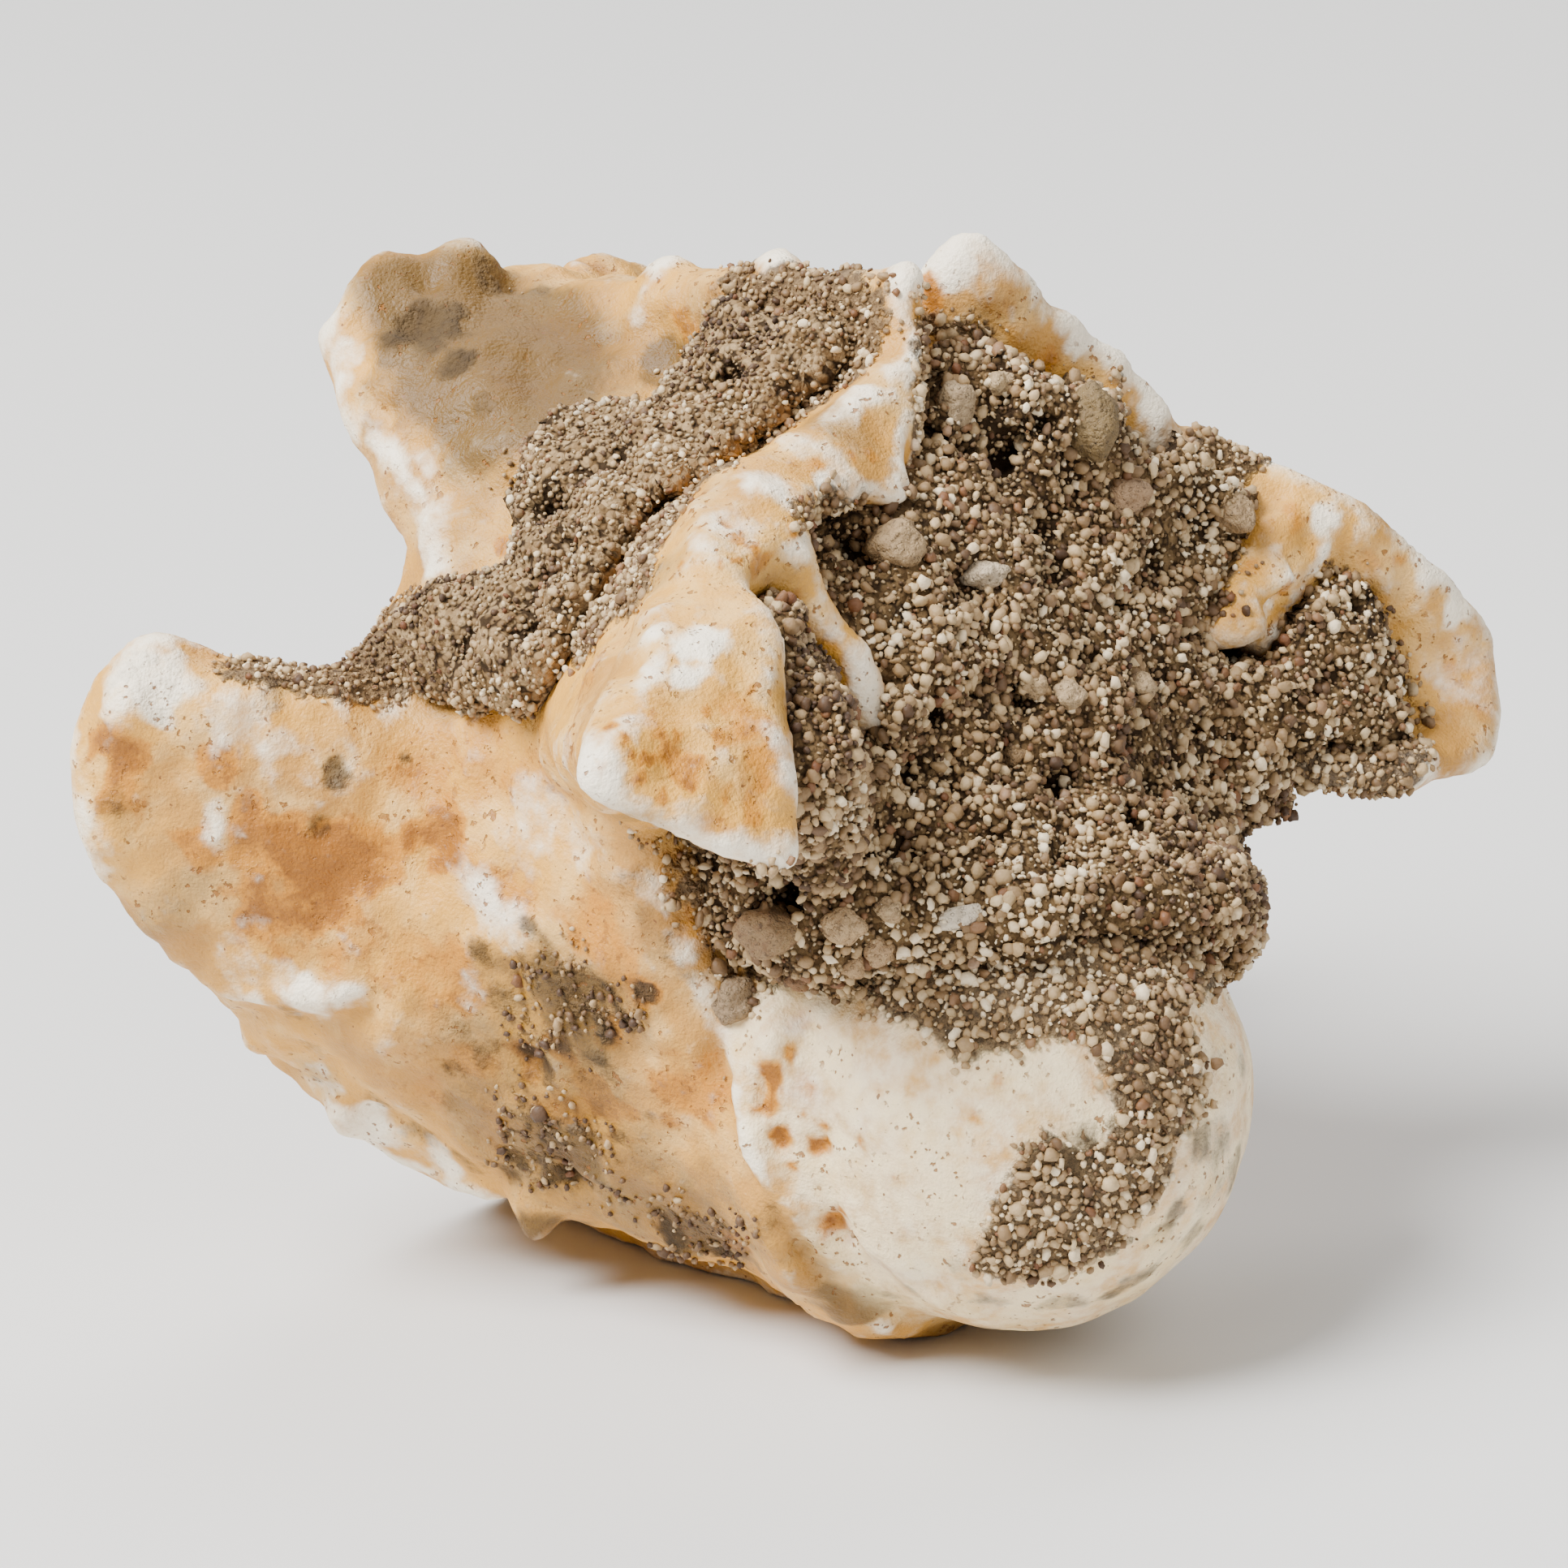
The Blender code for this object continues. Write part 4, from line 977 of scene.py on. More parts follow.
def make_bone(settings):
    """The bone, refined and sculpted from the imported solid, and the values that its material reads."""
    skin = Skin(refined(merged_copy("vertebra"), settings.bone.fineness / MM, 2))
    view = Sight(skin)
    for x, y, radius, across, down in PULLS:
        gap = distances(skin.points, view.hit(x, y))
        shift = np.array(across * RIGHT - down * UP) / PIXELS_PER_MM
        skin.points += (1.0 - smoothstep(gap, 0.0, 1.3 * radius))[:, None] * shift
    for below, places, outline in NOTCHES:
        fill_notch(skin, below, places, outline)
    points = skin.points
    view = Sight(skin)

    # The smooth ball: by its shape, and by its outline in the picture
    from_middle = np.linalg.norm(points, axis=1)
    ball = smoothstep(from_middle, 5.0, 4.55) * smoothstep(points[:, 1], 1.6, 0.6)
    face = inside_outline(picture_places(points), BALL_OUTLINE) & (from_middle < 7.0)
    limit = 3.2 - smoothstep(points[:, 0], 0.5, 2.5) * (0.9 + 1.5 * lumps(points, 1.1, 47))
    face = skin.averaged(face * smoothstep(points[:, 1] - limit, 0.3, -0.3), 3)
    pale = np.maximum(face, ball)

    # Lumps all over, chips in sharp edges, pits, grooves and raised edges
    sharp = smoothstep(skin.bulge(14), 0.05, 0.16)
    relief = settings.bone.relief / MM
    broad, small, tiny = lumps(points, 1.1, 1), lumps(points, 0.45, 2), lumps(points, 0.22, 3)
    height = relief * (1.3 * broad + 0.9 * small + 0.6 * tiny) * (1.0 - 0.85 * ball)
    height -= sharp * 0.16 * np.clip(small + 0.15, 0.0, 1.0)
    height += sharp * 0.05
    ragged = lumps(points, 0.4, 4)

    def gap_to(path):
        """The distance, made ragged, from each point to a path in the picture."""
        seen_path = [view.hit(x, y) for x, y in path]
        return stroke_distance(points, seen_path) * (1 + 0.3 * ragged)

    height -= 0.32 * spot_strength(points, seen_spots(view, PIT_SPOTS), 0.4 * ragged)
    for depth, half_width, path in GROOVE_STROKES:
        height -= depth * (1.0 - smoothstep(gap_to(path), 0.3 * half_width, 1.8 * half_width))
    edges = np.zeros(len(points))
    for rise, half_width, whiteness, path in EDGE_STROKES:
        near = 1.0 - smoothstep(gap_to(path), 0.4 * half_width, 2.2 * half_width)
        height += rise * near * (0.75 + 0.5 * small)
        edges = np.maximum(edges, whiteness * near * (0.62 + 0.9 * small + 0.5 * ragged))
    skin.push(skin.averaged(height, 1))

    # What has sunk into the ground is lifted to it
    upward = np.array(UPRIGHT_TO_ROW)[2]
    sunk = np.minimum(skin.points @ upward[:3] + upward[3], 0.0)
    skin.points -= sunk[:, None] * upward[:3] / (upward[:3] @ upward[:3])
    skin.write()
    points = skin.points

    # Wear, iron stains, dirt, earth stains and painted shade: by the shape, by noise and by the spots
    bulge_small, bulge_wide = skin.bulge(4), skin.bulge(30)
    patches, blotches = lumps(points, 2.4, 5), lumps(points, 0.9, 6)
    stray = wander(points, 1.1, 41, 42, 43) * 0.55
    stray += wander(points, 0.4, 44, 45, 46) * 0.22

    def with_spots(values, spots):
        return np.maximum(values, spot_strength(points, seen_spots(view, spots), ragged, stray))

    crisp = [spot for spot in OCHRE_SPOTS if spot[2] < CRISP]
    fresh = spot_strength(points, seen_spots(view, crisp + FRESH_SPOTS), 0.6 * ragged, stray)
    worn = smoothstep(bulge_wide + 0.12 * blotches, 0.14, 0.42) * 0.75
    worn += smoothstep(bulge_small, 0.012, 0.035) * 0.25
    worn = with_spots(np.maximum(worn, edges), WHITE_SPOTS)
    worn = np.maximum(worn, pale * (0.57 + 0.18 * blotches + 0.16 * small))
    ochre = smoothstep(patches + 0.5 * blotches, -0.1, 0.7) * 0.44 * (1.0 - 0.85 * pale)
    ochre = np.maximum(with_spots(ochre, OCHRE_SPOTS), fresh)
    # Dirt and painted shade: darker in hollows and at the spots
    grime = with_spots(smoothstep(-bulge_wide + 0.08 * blotches, 0.12, 0.5) * 0.7, DIRT_AND_SHADE_SPOTS)

    # Earth stains, and painted shade below the ball and along the low flank
    brown = np.zeros(len(points))
    places = picture_places(points + 0.6 * stray)
    facing = skin.faces_camera(0.2)
    for strength, outline in BROWN_AND_SHADE_OUTLINES:
        brown = np.maximum(brown, strength * (inside_outline(places, outline) & facing))
    brown = with_spots(skin.averaged(brown, 12), BROWN_AND_SHADE_SPOTS)
    clouds = smoothstep(lumps(points, 2.0, 7) - 0.2 * patches, 0.2, 0.6) * 0.45
    brown = np.maximum(brown, clouds * (1.0 - pale))
    worn = worn * (1.0 - 0.9 * fresh) * (1.0 - np.minimum(1.25 * brown, 1.0))
    ivory = pale * (1.0 - fresh) * smoothstep(ochre, 0.6, 0.2)
    return skin, {"worn": worn, "ball": ivory, "ochre": ochre, "grime": grime, "brown": brown}


def gaps_above(skin, tree, reach):
    """How far the bone is above each point, up to reach where nothing is above it."""
    gaps = np.full(len(skin.points), reach)
    for index, (point, normal) in enumerate(zip(skin.points, skin.normals)):
        found = tree.ray_cast(Vector(point), Vector(normal), reach)
        if found[0] is not None:
            gaps[index] = found[3]
    return gaps


# In millimetres: the size of the faces of a bed of sand, what stays between it and the bone that it meets,
# and how far it stands out where it meets none
BED_FINENESS = 0.2
SEAM = 0.02
OPEN_RISE = 0.08


def make_sand_bed(node, tree):
    """The packed sand under the modelled grains: it meets the bone, and its open face is crumbly."""
    skin = Skin(refined(merged_copy(node), BED_FINENESS, 1))
    reach = 1.2
    gaps = gaps_above(skin, tree, reach)
    against = gaps < reach
    skin.push(skin.averaged(np.where(against, gaps - SEAM, OPEN_RISE), 2))
    points = skin.points
    crumble = 0.30 * lumps(points, 1.4, 8) + 0.24 * lumps(points, 0.6, 9) + 0.1 * lumps(points, 0.33, 10)
    crumble -= 0.34 * smoothstep(lumps(points, 0.75, 12), 0.18, 0.45)
    skin.push(skin.averaged(np.where(against, 0.0, crumble), 1))
    return skin


def inside_bare(points):
    """True for each point that lies inside an outline of bare bone."""
    places = picture_places(points) + 12.0 * wander(points, 0.6, 24, 25)
    return np.any([inside_outline(places, outline) for outline in BARE_OUTLINES], axis=0)


# How far the sand is sunk in millimetres: behind the bone that the camera sees, or else into the nearest bone
BEHIND_BONE = 0.4
INTO_BONE = 0.35


def clear_bare_bone(skin, tree):
    """Sinks the sand behind the bone where the bone is bare, and says where, from 0 to 1."""
    bare = inside_bare(skin.points)
    shift = np.zeros((len(bare), 3))
    for index in np.flatnonzero(bare):
        point = Vector(skin.points[index])
        direction = point - EYE
        distance = direction.length
        found = tree.ray_cast(EYE, direction.normalized(), distance + 3.0)
        if found[0] is not None:
            shift[index] = AWAY * max(0.0, found[3] + BEHIND_BONE - distance)
        else:
            place, normal, _, _ = tree.find_nearest(point)
            shift[index] = place - normal * INTO_BONE - point
    around = skin.averaged_vectors(shift, 3)
    farther = np.linalg.norm(shift, axis=1) >= np.linalg.norm(around, axis=1)
    skin.points += np.where(bare[:, None], np.where(farther[:, None], shift, around), 0.6 * around)
    skin.write()
    return skin.averaged(bare.astype(float), 1)


def raise_towards_camera(skin, middles):
    """Draws the skin towards the camera: each middle is (point, radius, distance)."""
    for middle, radius, distance in middles:
        near = 1.0 - smoothstep(distances(skin.points, middle), 0.3 * radius, 1.3 * radius)
        skin.points -= (distance * near)[:, None] * np.array(AWAY)
    skin.write()


def dig(skin, middles):
    """Sinks the deep hollows between the grains, and says how thickly grains lie in them, from 0 to 1."""
    ragged = lumps(skin.points, 0.5, 11)
    deep = spot_strength(skin.points, middles, ragged)
    skin.push(-0.9 * deep)
    # The hollow value is painted as shade by the bed's material
    hollow = np.maximum(deep, smoothstep(-skin.bulge(10), 0.03, 0.14))
    store(skin.mesh, "hollow", skin.averaged(hollow, 1))
    return 1.0 - 0.75 * smoothstep(deep, 0.3, 0.8)


def open_air(skin, tree, bare):
    """1 for each point that is outside the bone with room above it, else 0."""
    reach, enough = 0.3, 0.29
    air = (gaps_above(skin, tree, reach) > enough).astype(float) * (bare < 0.4)
    for index in np.flatnonzero(air):
        point = Vector(skin.points[index])
        place, normal, _, _ = tree.find_nearest(point)
        if (point - place).dot(normal) < 0.0:
            air[index] = 0.0
    return air


# The most grains to a square millimetre, before their spacing thins them
GRAIN_DENSITY = 260.0
# A cube of this size rounds to a grain about 1 across
BLOCK_SIZE = 1.22
# How much darker the grains are where the bone below is stained or painted in shade
STAIN_AND_SHADE_DARKENING = 0.7


def grain_tree(name, coarse):
    """Geometry nodes that strew a surface with grains, thickest where its cover attribute is 1."""
    tree = bpy.data.node_groups.new(name, "GeometryNodeTree")
    tree.is_modifier = True
    sockets = [
        ("Surface", "INPUT", "NodeSocketGeometry"), ("Spacing", "INPUT", "NodeSocketFloat"),
        ("Smallest", "INPUT", "NodeSocketFloat"), ("Largest", "INPUT", "NodeSocketFloat"),
        ("Sink", "INPUT", "NodeSocketFloat"), ("Lumpiness", "INPUT", "NodeSocketFloat"),
        ("Seed", "INPUT", "NodeSocketInt"), ("Finish", "INPUT", "NodeSocketMaterial"),
        ("Grains", "OUTPUT", "NodeSocketGeometry"),
    ]
    for label, direction, kind in sockets:
        tree.interface.new_socket(label, in_out=direction, socket_type=kind)

    def node(kind, settings, inputs, output=0):
        made = tree.nodes.new(kind)
        for key, value in settings.items():
            setattr(made, key, value)
        for key, value in inputs.items():
            if isinstance(value, bpy.types.NodeSocket):
                tree.links.new(value, made.inputs[key])
            else:
                made.inputs[key].default_value = value
        return made.outputs[output]

    def maths(operation, *values):
        return node("ShaderNodeMath", {"operation": operation}, dict(enumerate(values)))

    def scaled(vector, factor):
        return node("ShaderNodeVectorMath", {"operation": "SCALE"}, {0: vector, "Scale": factor})

    def moved(geometry, offset):
        return node("GeometryNodeSetPosition", {}, {"Geometry": geometry, "Offset": offset})

    def random(kind, low, high, seed):
        low_input, high_input, output = {"FLOAT": (2, 3, 1), "FLOAT_VECTOR": (0, 1, 0)}[kind]
        inputs = {low_input: low, high_input: high, "Seed": seed}
        return node("FunctionNodeRandomValue", {"data_type": kind}, inputs, output)

    def kept(attribute):
        return node("GeometryNodeInputNamedAttribute", {"data_type": "FLOAT"}, {"Name": attribute})

    def keep(geometry, attribute, value):
        """Gives each grain its own value for the material to read."""
        return node(
            "GeometryNodeStoreNamedAttribute", {"data_type": "FLOAT", "domain": "INSTANCE"},
            {"Geometry": geometry, "Name": attribute, "Value": value},
        )

    given = tree.nodes.new("NodeGroupInput").outputs
    scatter = node(
        "GeometryNodeDistributePointsOnFaces", {"distribute_method": "POISSON"},
        {"Mesh": given["Surface"], "Distance Min": given["Spacing"], "Density Max": GRAIN_DENSITY,
         "Density Factor": kept("cover"), "Seed": given["Seed"]},
    ).node.outputs
    share = maths("POWER", random("FLOAT", 0.0, 1.0, 11), 2.0)
    span = maths("SUBTRACT", given["Largest"], given["Smallest"])
    size = maths("ADD", given["Smallest"], maths("MULTIPLY", share, span))
    lift = maths("MULTIPLY", size, maths("SUBTRACT", 0.5, given["Sink"]))
    lifted = moved(scatter["Points"], scaled(scatter["Normal"], lift))
    if coarse:
        block = node("GeometryNodeMeshCube", {}, {"Size": (BLOCK_SIZE, BLOCK_SIZE, BLOCK_SIZE)})
        grain = node("GeometryNodeSubdivisionSurface", {}, {"Mesh": block, "Level": 1})
    else:
        grain = node("GeometryNodeMeshIcoSphere", {}, {"Radius": 0.5, "Subdivisions": 1})
    turned = random("FLOAT_VECTOR", (0.0, 0.0, 0.0), (FULL_TURN, FULL_TURN, FULL_TURN), 12)
    squashed = random("FLOAT_VECTOR", (0.58, 0.58, 0.58), (1.25, 1.25, 1.25), 13)
    grains = node(
        "GeometryNodeInstanceOnPoints", {},
        {"Points": lifted, "Instance": grain, "Rotation": turned, "Scale": scaled(squashed, size)},
    )
    tint = maths("ADD", random("FLOAT", -0.26, 0.60, 14), maths("MULTIPLY", kept("tone"), 0.80))
    grains = keep(grains, "tint", tint)
    grains = keep(grains, "rust", random("FLOAT", 0.0, 1.0, 15))
    grains = node("GeometryNodeRealizeInstances", {}, {"Geometry": grains})
    field = node("ShaderNodeTexNoise", {"noise_dimensions": "3D"}, {"Scale": 6.5, "Detail": 1.5})
    rough = maths("MULTIPLY", maths("SUBTRACT", field, 0.5), given["Lumpiness"])
    grains = moved(grains, scaled(node("GeometryNodeInputNormal", {}, {}), rough))
    grains = node("GeometryNodeSetMaterial", {}, {"Geometry": grains, "Material": given["Finish"]})
    tree.links.new(grains, tree.nodes.new("NodeGroupOutput").inputs["Grains"])
    return tree


def strewn(skin, cover, tree, values, stain):
    """A mesh of grains strewn over the skin where cover says, darker where the stain says: earth stain and
    painted shade.
    """
    mesh = skin.mesh.copy()
    tone = 0.5 + 0.35 * lumps(skin.points, 1.9, 15) + 0.25 * lumps(skin.points, 0.7, 16)
    for middle, radius, change in BENCH["tones"]:
        tone += change * (1.0 - smoothstep(distances(skin.points, middle), 0.2 * radius, radius))
    store(mesh, "cover", cover)
    store(mesh, "tone", np.clip(tone, 0.0, 1.0) * (1.0 - STAIN_AND_SHADE_DARKENING * stain))

    def add_modifiers(item):
        strew = item.modifiers.new("Grains", "NODES")
        strew.node_group = tree
        for socket in tree.interface.items_tree:
            if socket.in_out == "INPUT" and socket.name in values:
                strew[socket.identifier] = values[socket.name]

    return through_modifiers(mesh, add_modifiers)


def grain_values(settings, finish, kind, seed):
    """Inputs for the grain tree, for coarse, middling or fine grains."""
    sand = settings.sand
    spacing, smallest, largest, sink, lumpiness = {
        "coarse": (1.0, 1.0, 1.0, 0.30, 0.26),
        "middling": (0.95, 0.85, 0.62, 0.30, 0.20),
        "fine": (0.80, 0.60, 0.50, 0.12, 0.12),
    }[kind]
    return {
        "Spacing": spacing * sand.spacing / MM, "Smallest": smallest * sand.smallest / MM,
        "Largest": largest * sand.largest / MM, "Sink": sink, "Lumpiness": lumpiness,
        "Seed": sand.seed + seed, "Finish": finish,
    }


def lay_grains(settings, name, skin, cover, tree, kind, finish, seed, slot, *nodes, stain=0.0):
    """A piece of separate grains that lie on the skin where cover says."""
    values = grain_values(settings, finish, kind, seed)
    dress(name, strewn(skin, cover, BENCH[tree], values, stain), finish, slot, *nodes)


# Tones of the grains, from the darkest to the palest
GRAIN_STOPS = [
    (0.00, (0.062, 0.028, 0.010)), (0.18, (0.125, 0.064, 0.024)), (0.38, (0.25, 0.150, 0.064)),
    (0.62, (0.40, 0.265, 0.128)), (0.86, (0.57, 0.415, 0.225)), (1.00, (0.80, 0.65, 0.43)),
]
# Fine grains lie deeper, so their tones are darkened: painted shade
SHADED_FINE_STOPS = [(place, tuple(0.72 * part for part in colour)) for place, colour in GRAIN_STOPS]
RUST = (0.15, 0.048, 0.012)


class VERTEBRA_OT_bone(bpy.types.Operator):
    """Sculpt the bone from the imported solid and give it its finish"""

    bl_idname = "vertebra.bone"
    bl_label = "Bone"

    def execute(self, context):
        settings = context.scene.vertebra
        skin, kept = make_bone(settings)
        BENCH["bone"] = skin
        tree = skin.tree()
        rear, side = make_sand_bed("rear_sand_fill", tree), make_sand_bed("left_side_sand", tree)
        view = Sight(skin, rear, side)
        raised = [(Sight(rear, side).hit(x, y), radius, distance) for x, y, radius, distance in SAND_RISES]
        hollows = seen_spots(view, SAND_HOLLOWS)
        for name, bed in (("rear", rear), ("side", side)):
            raise_towards_camera(bed, raised)
            bare = clear_bare_bone(bed, tree)
            thinning = dig(bed, hollows)
            BENCH[name] = bed, open_air(bed, tree, bare) * thinning
        view = Sight(skin, rear, side)
        BENCH["view"] = view
        BENCH["tones"] = seen_spots(view, SAND_TONES)
        coarse, middling = sand_covers(skin, view)
        hollow = hidden_hollows(skin, view)
        BENCH["coarse cover"] = np.maximum(coarse, 0.3 * hollow)
        BENCH["middling cover"] = np.maximum(middling, 0.5 * hollow)
        matrix = np.maximum(BENCH["coarse cover"], 1.3 * BENCH["middling cover"])
        kept["matrix"] = skin.averaged(matrix, 3)
        # Clinging grains below the arch darken where the bone is brown: earth stain and painted shade
        shaded_below_arch = 1.0 - smoothstep(skin.points[:, 2], 8.0, 9.0)
        BENCH["stain"] = np.clip(2.2 * kept["brown"], 0.0, 1.0) * shaded_below_arch
        for name, values in kept.items():
            store(skin.mesh, name, values)
        finish = bone_finish(settings.bone, settings.sand)
        dress("vertebra_bone", skin.mesh.copy(), finish, "fossil_bone", "vertebra")
        return {"FINISHED"}


class VERTEBRA_OT_rear_sand(bpy.types.Operator):
    """Fill the hollow between the rear wings with a bed of sand and its grains"""

    bl_idname = "vertebra.rear_sand"
    bl_label = "Rear sand"

    def execute(self, context):
        settings = context.scene.vertebra
        skin, air = BENCH["rear"]
        sand = settings.sand
        bed = sand_bed_finish("sand bed", sand.bed, sand.pale_bed, sand.gap)
        grains = grain_finish("sand grains", GRAIN_STOPS, 0.62)
        fine = grain_finish("shaded fine sand grains", SHADED_FINE_STOPS, 0.7)
        BENCH["grain finish"], BENCH["fine finish"] = grains, fine
        BENCH["coarse"] = grain_tree("Coarse grains", True)
        BENCH["fine"] = grain_tree("Fine grains", False)
        patches = lumps(skin.points, 1.2, 17) + 0.4 * lumps(skin.points, 0.5, 18)
        thick = 0.45 + 0.55 * smoothstep(patches, -0.3, 0.0)
        unseen = ~BENCH["view"].seen(skin.points)
        thick *= 1.0 - 0.5 * unseen
        across = skin.points[:, 0]
        areas = (
            ("rear_grains_left", across < -2.0, 10),
            ("rear_grains_middle", (across >= -2.0) & (across < 3.2), 11),
            ("rear_grains_right", across >= 3.2, 12),
        )
        for name, within, seed in areas:
            lay_grains(
                settings, name, skin, air * within * thick, "coarse", "coarse", grains, seed,
                "cemented_sand", "rear_sand_fill",
            )
        lay_grains(
            settings, "rear_fine_grains", skin, air * (1.0 - 0.4 * unseen), "fine", "fine", fine, 20,
            "cemented_sand", "rear_sand_fill",
        )
        dress("rear_sand_bed", skin.mesh.copy(), bed, "cemented_sand", "rear_sand_fill")
        return {"FINISHED"}


class VERTEBRA_OT_side_sand(bpy.types.Operator):
    """Lay the sand that clings in the trough left of the spine"""

    bl_idname = "vertebra.side_sand"
    bl_label = "Side sand"

    def execute(self, context):
        settings = context.scene.vertebra
        skin, air = BENCH["side"]
        sand = settings.sand
        bed = sand_bed_finish("side sand bed", sand.side_bed, sand.pale_side_bed, sand.gap)
        patches = lumps(skin.points, 0.9, 19) + 0.4 * lumps(skin.points, 0.4, 20)
        thick = smoothstep(patches, -0.35, 0.25)
        lay_grains(
            settings, "side_grains", skin, air * (0.15 + 0.6 * thick), "coarse", "middling",
            BENCH["grain finish"], 30, "clinging_sand", "left_side_sand",
        )
        lay_grains(
            settings, "side_fine_grains", skin, air * 0.85, "fine", "fine",
            BENCH["fine finish"], 31, "clinging_sand", "left_side_sand",
        )
        dress("side_sand_bed", skin.mesh.copy(), bed, "clinging_sand", "left_side_sand")
        return {"FINISHED"}


class VERTEBRA_OT_crust(bpy.types.Operator):
    """Strew the crusts of grains that cling to bare bone"""

    bl_idname = "vertebra.crust"
    bl_label = "Crusts of grains"

    def execute(self, context):
        settings = context.scene.vertebra
        coarse, middling = BENCH["coarse cover"], BENCH["middling cover"]
        for name, cover, tree, kind, seed in (
            ("clinging_grains", coarse, "coarse", "coarse", 40),
            ("clinging_middling_grains", middling, "coarse", "middling", 41),
            ("clinging_fine_grains", np.maximum(coarse, middling), "fine", "fine", 42),
        ):
            lay_grains(
                settings, name, BENCH["bone"], cover, tree, kind, BENCH["grain finish"], seed,
                "clinging_sand", stain=BENCH["stain"],
            )
        return {"FINISHED"}


# Pebbles: name, place in the picture, half sizes across, up and deep in millimetres, roll, colour, speck
PEBBLES = [
    ("round_pebble", (1105, 675), (0.52, 0.45, 0.5), 0.2, (0.31, 0.205, 0.10), (0.22, 0.135, 0.06)),
    ("olive_pebble", (1348, 520), (0.46, 0.72, 0.5), 0.1, (0.17, 0.108, 0.038), (0.10, 0.060, 0.020)),
    ("large_pebble", (945, 1148), (0.52, 0.48, 0.6), 0.3, (0.26, 0.165, 0.075), (0.15, 0.07, 0.028)),
    ("grey_pebble", (905, 1232), (0.36, 0.44, 0.4), -0.3, (0.27, 0.185, 0.10), (0.19, 0.12, 0.06)),
    ("beige_pebble", (1040, 1140), (0.38, 0.33, 0.35), 0.1, (0.46, 0.31, 0.16), (0.34, 0.21, 0.10)),
    ("beige_pebble_2", (1085, 1168), (0.32, 0.29, 0.3), 0.6, (0.44, 0.29, 0.15), (0.32, 0.19, 0.09)),
    ("beige_pebble_3", (1050, 1190), (0.28, 0.22, 0.25), 0.2, (0.40, 0.26, 0.13), (0.28, 0.16, 0.07)),
    ("beige_pebble_4", (1095, 1122), (0.26, 0.22, 0.25), -0.4, (0.46, 0.32, 0.17), (0.34, 0.21, 0.10)),
    ("brown_pebble", (985, 1205), (0.26, 0.22, 0.3), 0.2, (0.20, 0.10, 0.04), (0.12, 0.055, 0.02)),
    ("tan_pebble", (1248, 930), (0.30, 0.24, 0.3), 0.5, (0.26, 0.16, 0.07), (0.18, 0.10, 0.04)),
    ("pale_pebble", (1405, 845), (0.28, 0.24, 0.3), -0.5, (0.40, 0.28, 0.15), (0.30, 0.19, 0.09)),
    ("pink_pebble", (1390, 612), (0.44, 0.36, 0.4), 0.2, (0.36, 0.225, 0.12), (0.24, 0.14, 0.065)),
    ("clay_pebble", (1178, 498), (0.34, 0.46, 0.4), -0.2, (0.34, 0.24, 0.13), (0.22, 0.145, 0.075)),
    ("edge_pebble", (1520, 632), (0.42, 0.36, 0.4), -0.5, (0.33, 0.215, 0.105), (0.21, 0.13, 0.06)),
    ("chalk_pebble", (1215, 708), (0.42, 0.26, 0.35), 0.15, (0.46, 0.36, 0.24), (0.30, 0.22, 0.13)),
    ("sand_pebble", (1272, 845), (0.26, 0.24, 0.3), 0.5, (0.42, 0.29, 0.15), (0.30, 0.19, 0.09)),
    ("sand_pebble_2", (1316, 856), (0.30, 0.26, 0.3), -0.3, (0.40, 0.28, 0.15), (0.28, 0.18, 0.09)),
    ("sand_pebble_3", (1232, 470), (0.28, 0.24, 0.3), 0.3, (0.42, 0.30, 0.16), (0.28, 0.18, 0.09)),
    ("shell_shard", (1185, 1130), (0.48, 0.19, 0.22), 0.25, (0.66, 0.56, 0.42), (0.44, 0.35, 0.24)),
]


def pebble_mesh(view, place, half_sizes, roll, seed):
    """A lumpy, rounded stone at a place in the picture, half sunk in what the camera sees there."""
    middle = view.hit(*place)
    shape = bmesh.new()
    bmesh.ops.create_icosphere(shape, subdivisions=4, radius=1.0)
    across = math.cos(roll) * RIGHT + math.sin(roll) * UP
    up = math.cos(roll) * UP - math.sin(roll) * RIGHT
    for vertex in shape.verts:
        spot = vertex.co.copy()
        swell = 1.0 + 0.34 * noise.noise(spot * 1.2 + Vector((seed, 0, 0)))
        swell += 0.10 * noise.noise(spot * 3.1)
        swell += 0.05 * noise.noise(spot * 7.0)
        x, y, z = (spot[axis] * half_sizes[axis] * swell for axis in range(3))
        vertex.co = middle + across * x + up * y + AWAY * (z + 0.12 * half_sizes[2])
    bmesh.ops.recalc_face_normals(shape, faces=shape.faces)
    return mesh_of(shape, "pebble")


class VERTEBRA_OT_pebbles(bpy.types.Operator):
    """Set the pebbles and the shell shard that stand out of the sand"""

    bl_idname = "vertebra.pebbles"
    bl_label = "Pebbles"

    def execute(self, context):
        for seed, (name, place, half_sizes, roll, colour, speck) in enumerate(PEBBLES):
            mesh = pebble_mesh(BENCH["view"], place, half_sizes, roll, seed * 3.7)
            dress(name, mesh, pebble_finish(name.replace("_", " "), colour, speck), "cemented_sand")
        return {"FINISHED"}


# Lights: name, direction from the object in the camera's right, up and back, distance, size in metres, power
LIGHTS = [
    ("key_light", (-0.85, 0.95, 0.80), 0.34, 0.20, 3.7),
    ("fill_light", (0.55, 0.55, 1.0), 0.42, 0.30, 0.85),
    ("top_light", (0.1, 1.0, -0.35), 0.40, 0.26, 1.0),
]
# What the lights are turned to, in metres, the light from the sky, and half the width of the floor in metres
LIT_PLACE = Vector((0.0, 0.0, 0.009))
SKY = (0.93, 0.95, 1.0, 1.0)
SKY_STRENGTH = 0.24
FLOOR_HALF_SIZE = 2.5


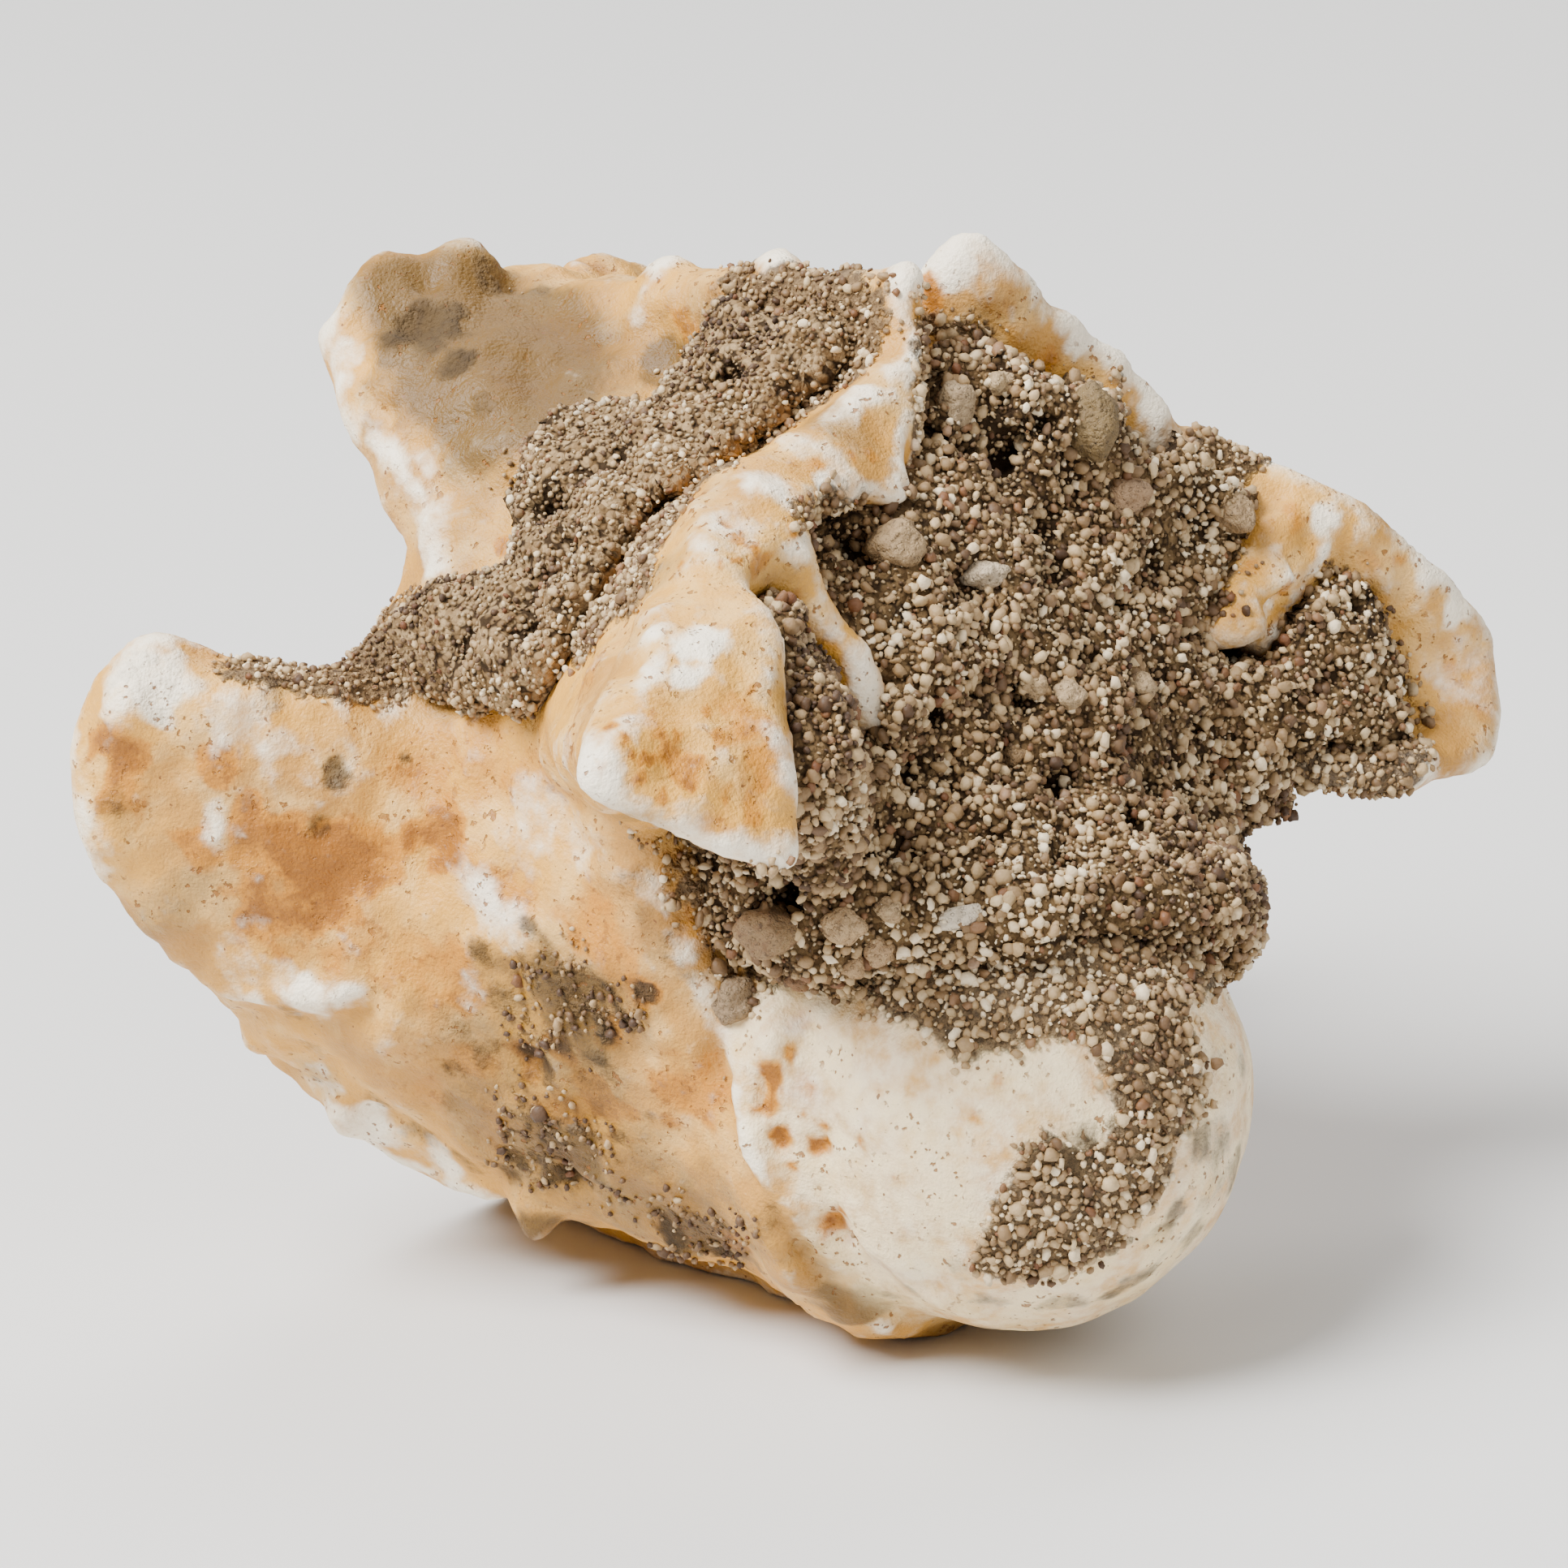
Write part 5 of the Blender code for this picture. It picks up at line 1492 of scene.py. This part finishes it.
class VERTEBRA_OT_stage(bpy.types.Operator):
    """Lay the floor, set the soft lights and place the camera"""

    bl_idname = "vertebra.stage"
    bl_label = "Stage"

    def execute(self, context):
        settings = context.scene.vertebra.stage
        scene = context.scene
        shape = bmesh.new()
        bmesh.ops.create_grid(shape, x_segments=1, y_segments=1, size=FLOOR_HALF_SIZE)
        mesh = mesh_of(shape, "floor")
        mesh.materials.append(floor_finish(settings))
        floor = placed("floor", mesh)

        world = bpy.data.worlds.new("studio")
        world.use_nodes = True
        backdrop = world.node_tree.nodes["Background"]
        backdrop.inputs["Color"].default_value = SKY
        backdrop.inputs["Strength"].default_value = SKY_STRENGTH * settings.strength
        scene.world = world

        turn = TURN.to_3x3()
        right, up, back = turn @ RIGHT, turn @ UP, turn @ -AWAY
        for name, (x, y, z), distance, size, power in LIGHTS:
            direction = (x * right + y * up + z * back).normalized()
            lamp = bpy.data.lights.new(name, "AREA")
            lamp.shape = "DISK"
            lamp.size = size
            lamp.energy = power * settings.strength
            light = placed(name, lamp)
            light.location = LIT_PLACE + direction * distance
            light.rotation_euler = direction.to_track_quat("Z", "Y").to_euler()

        camera = bpy.data.cameras.new("camera")
        camera.lens = LENS
        camera.sensor_width = SENSOR
        camera.clip_start = 0.01
        camera.clip_end = 10.0
        viewer = placed("camera", camera)
        axes = Matrix((right, up, back)).transposed().to_4x4()
        viewer.matrix_world = Matrix.Translation(UPRIGHT_TO_ROW @ EYE) @ axes
        scene.camera = viewer
        return {"FINISHED"}


class VERTEBRA_PT_panel(bpy.types.Panel):
    bl_label = "Fossil vertebra"
    bl_idname = "VERTEBRA_PT_panel"
    bl_space_type = "VIEW_3D"
    bl_region_type = "UI"
    bl_category = "Vertebra"

    def draw(self, context):
        settings = context.scene.vertebra
        for operator in OPERATORS:
            self.layout.operator(operator.bl_idname)
        for group in (settings.bone, settings.sand, settings.stage):
            box = self.layout.box()
            for name in group.bl_rna.properties.keys():
                if name not in ("rna_type", "name"):
                    box.prop(group, name)


OPERATORS = (
    VERTEBRA_OT_bone, VERTEBRA_OT_rear_sand, VERTEBRA_OT_side_sand, VERTEBRA_OT_crust,
    VERTEBRA_OT_pebbles, VERTEBRA_OT_stage,
)
CLASSES = (BoneSettings, SandSettings, StageSettings, VertebraSettings, *OPERATORS, VERTEBRA_PT_panel)


def register():
    for item in CLASSES:
        bpy.utils.register_class(item)
    bpy.types.Scene.vertebra = PointerProperty(type=VertebraSettings)


def unregister():
    del bpy.types.Scene.vertebra
    for item in reversed(CLASSES):
        bpy.utils.unregister_class(item)


def main():
    register()
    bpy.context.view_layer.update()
    bpy.ops.vertebra.bone()
    bpy.ops.vertebra.rear_sand()
    bpy.ops.vertebra.side_sand()
    bpy.ops.vertebra.crust()
    bpy.ops.vertebra.pebbles()
    bpy.ops.vertebra.stage()


if __name__ == "__main__":
    main()
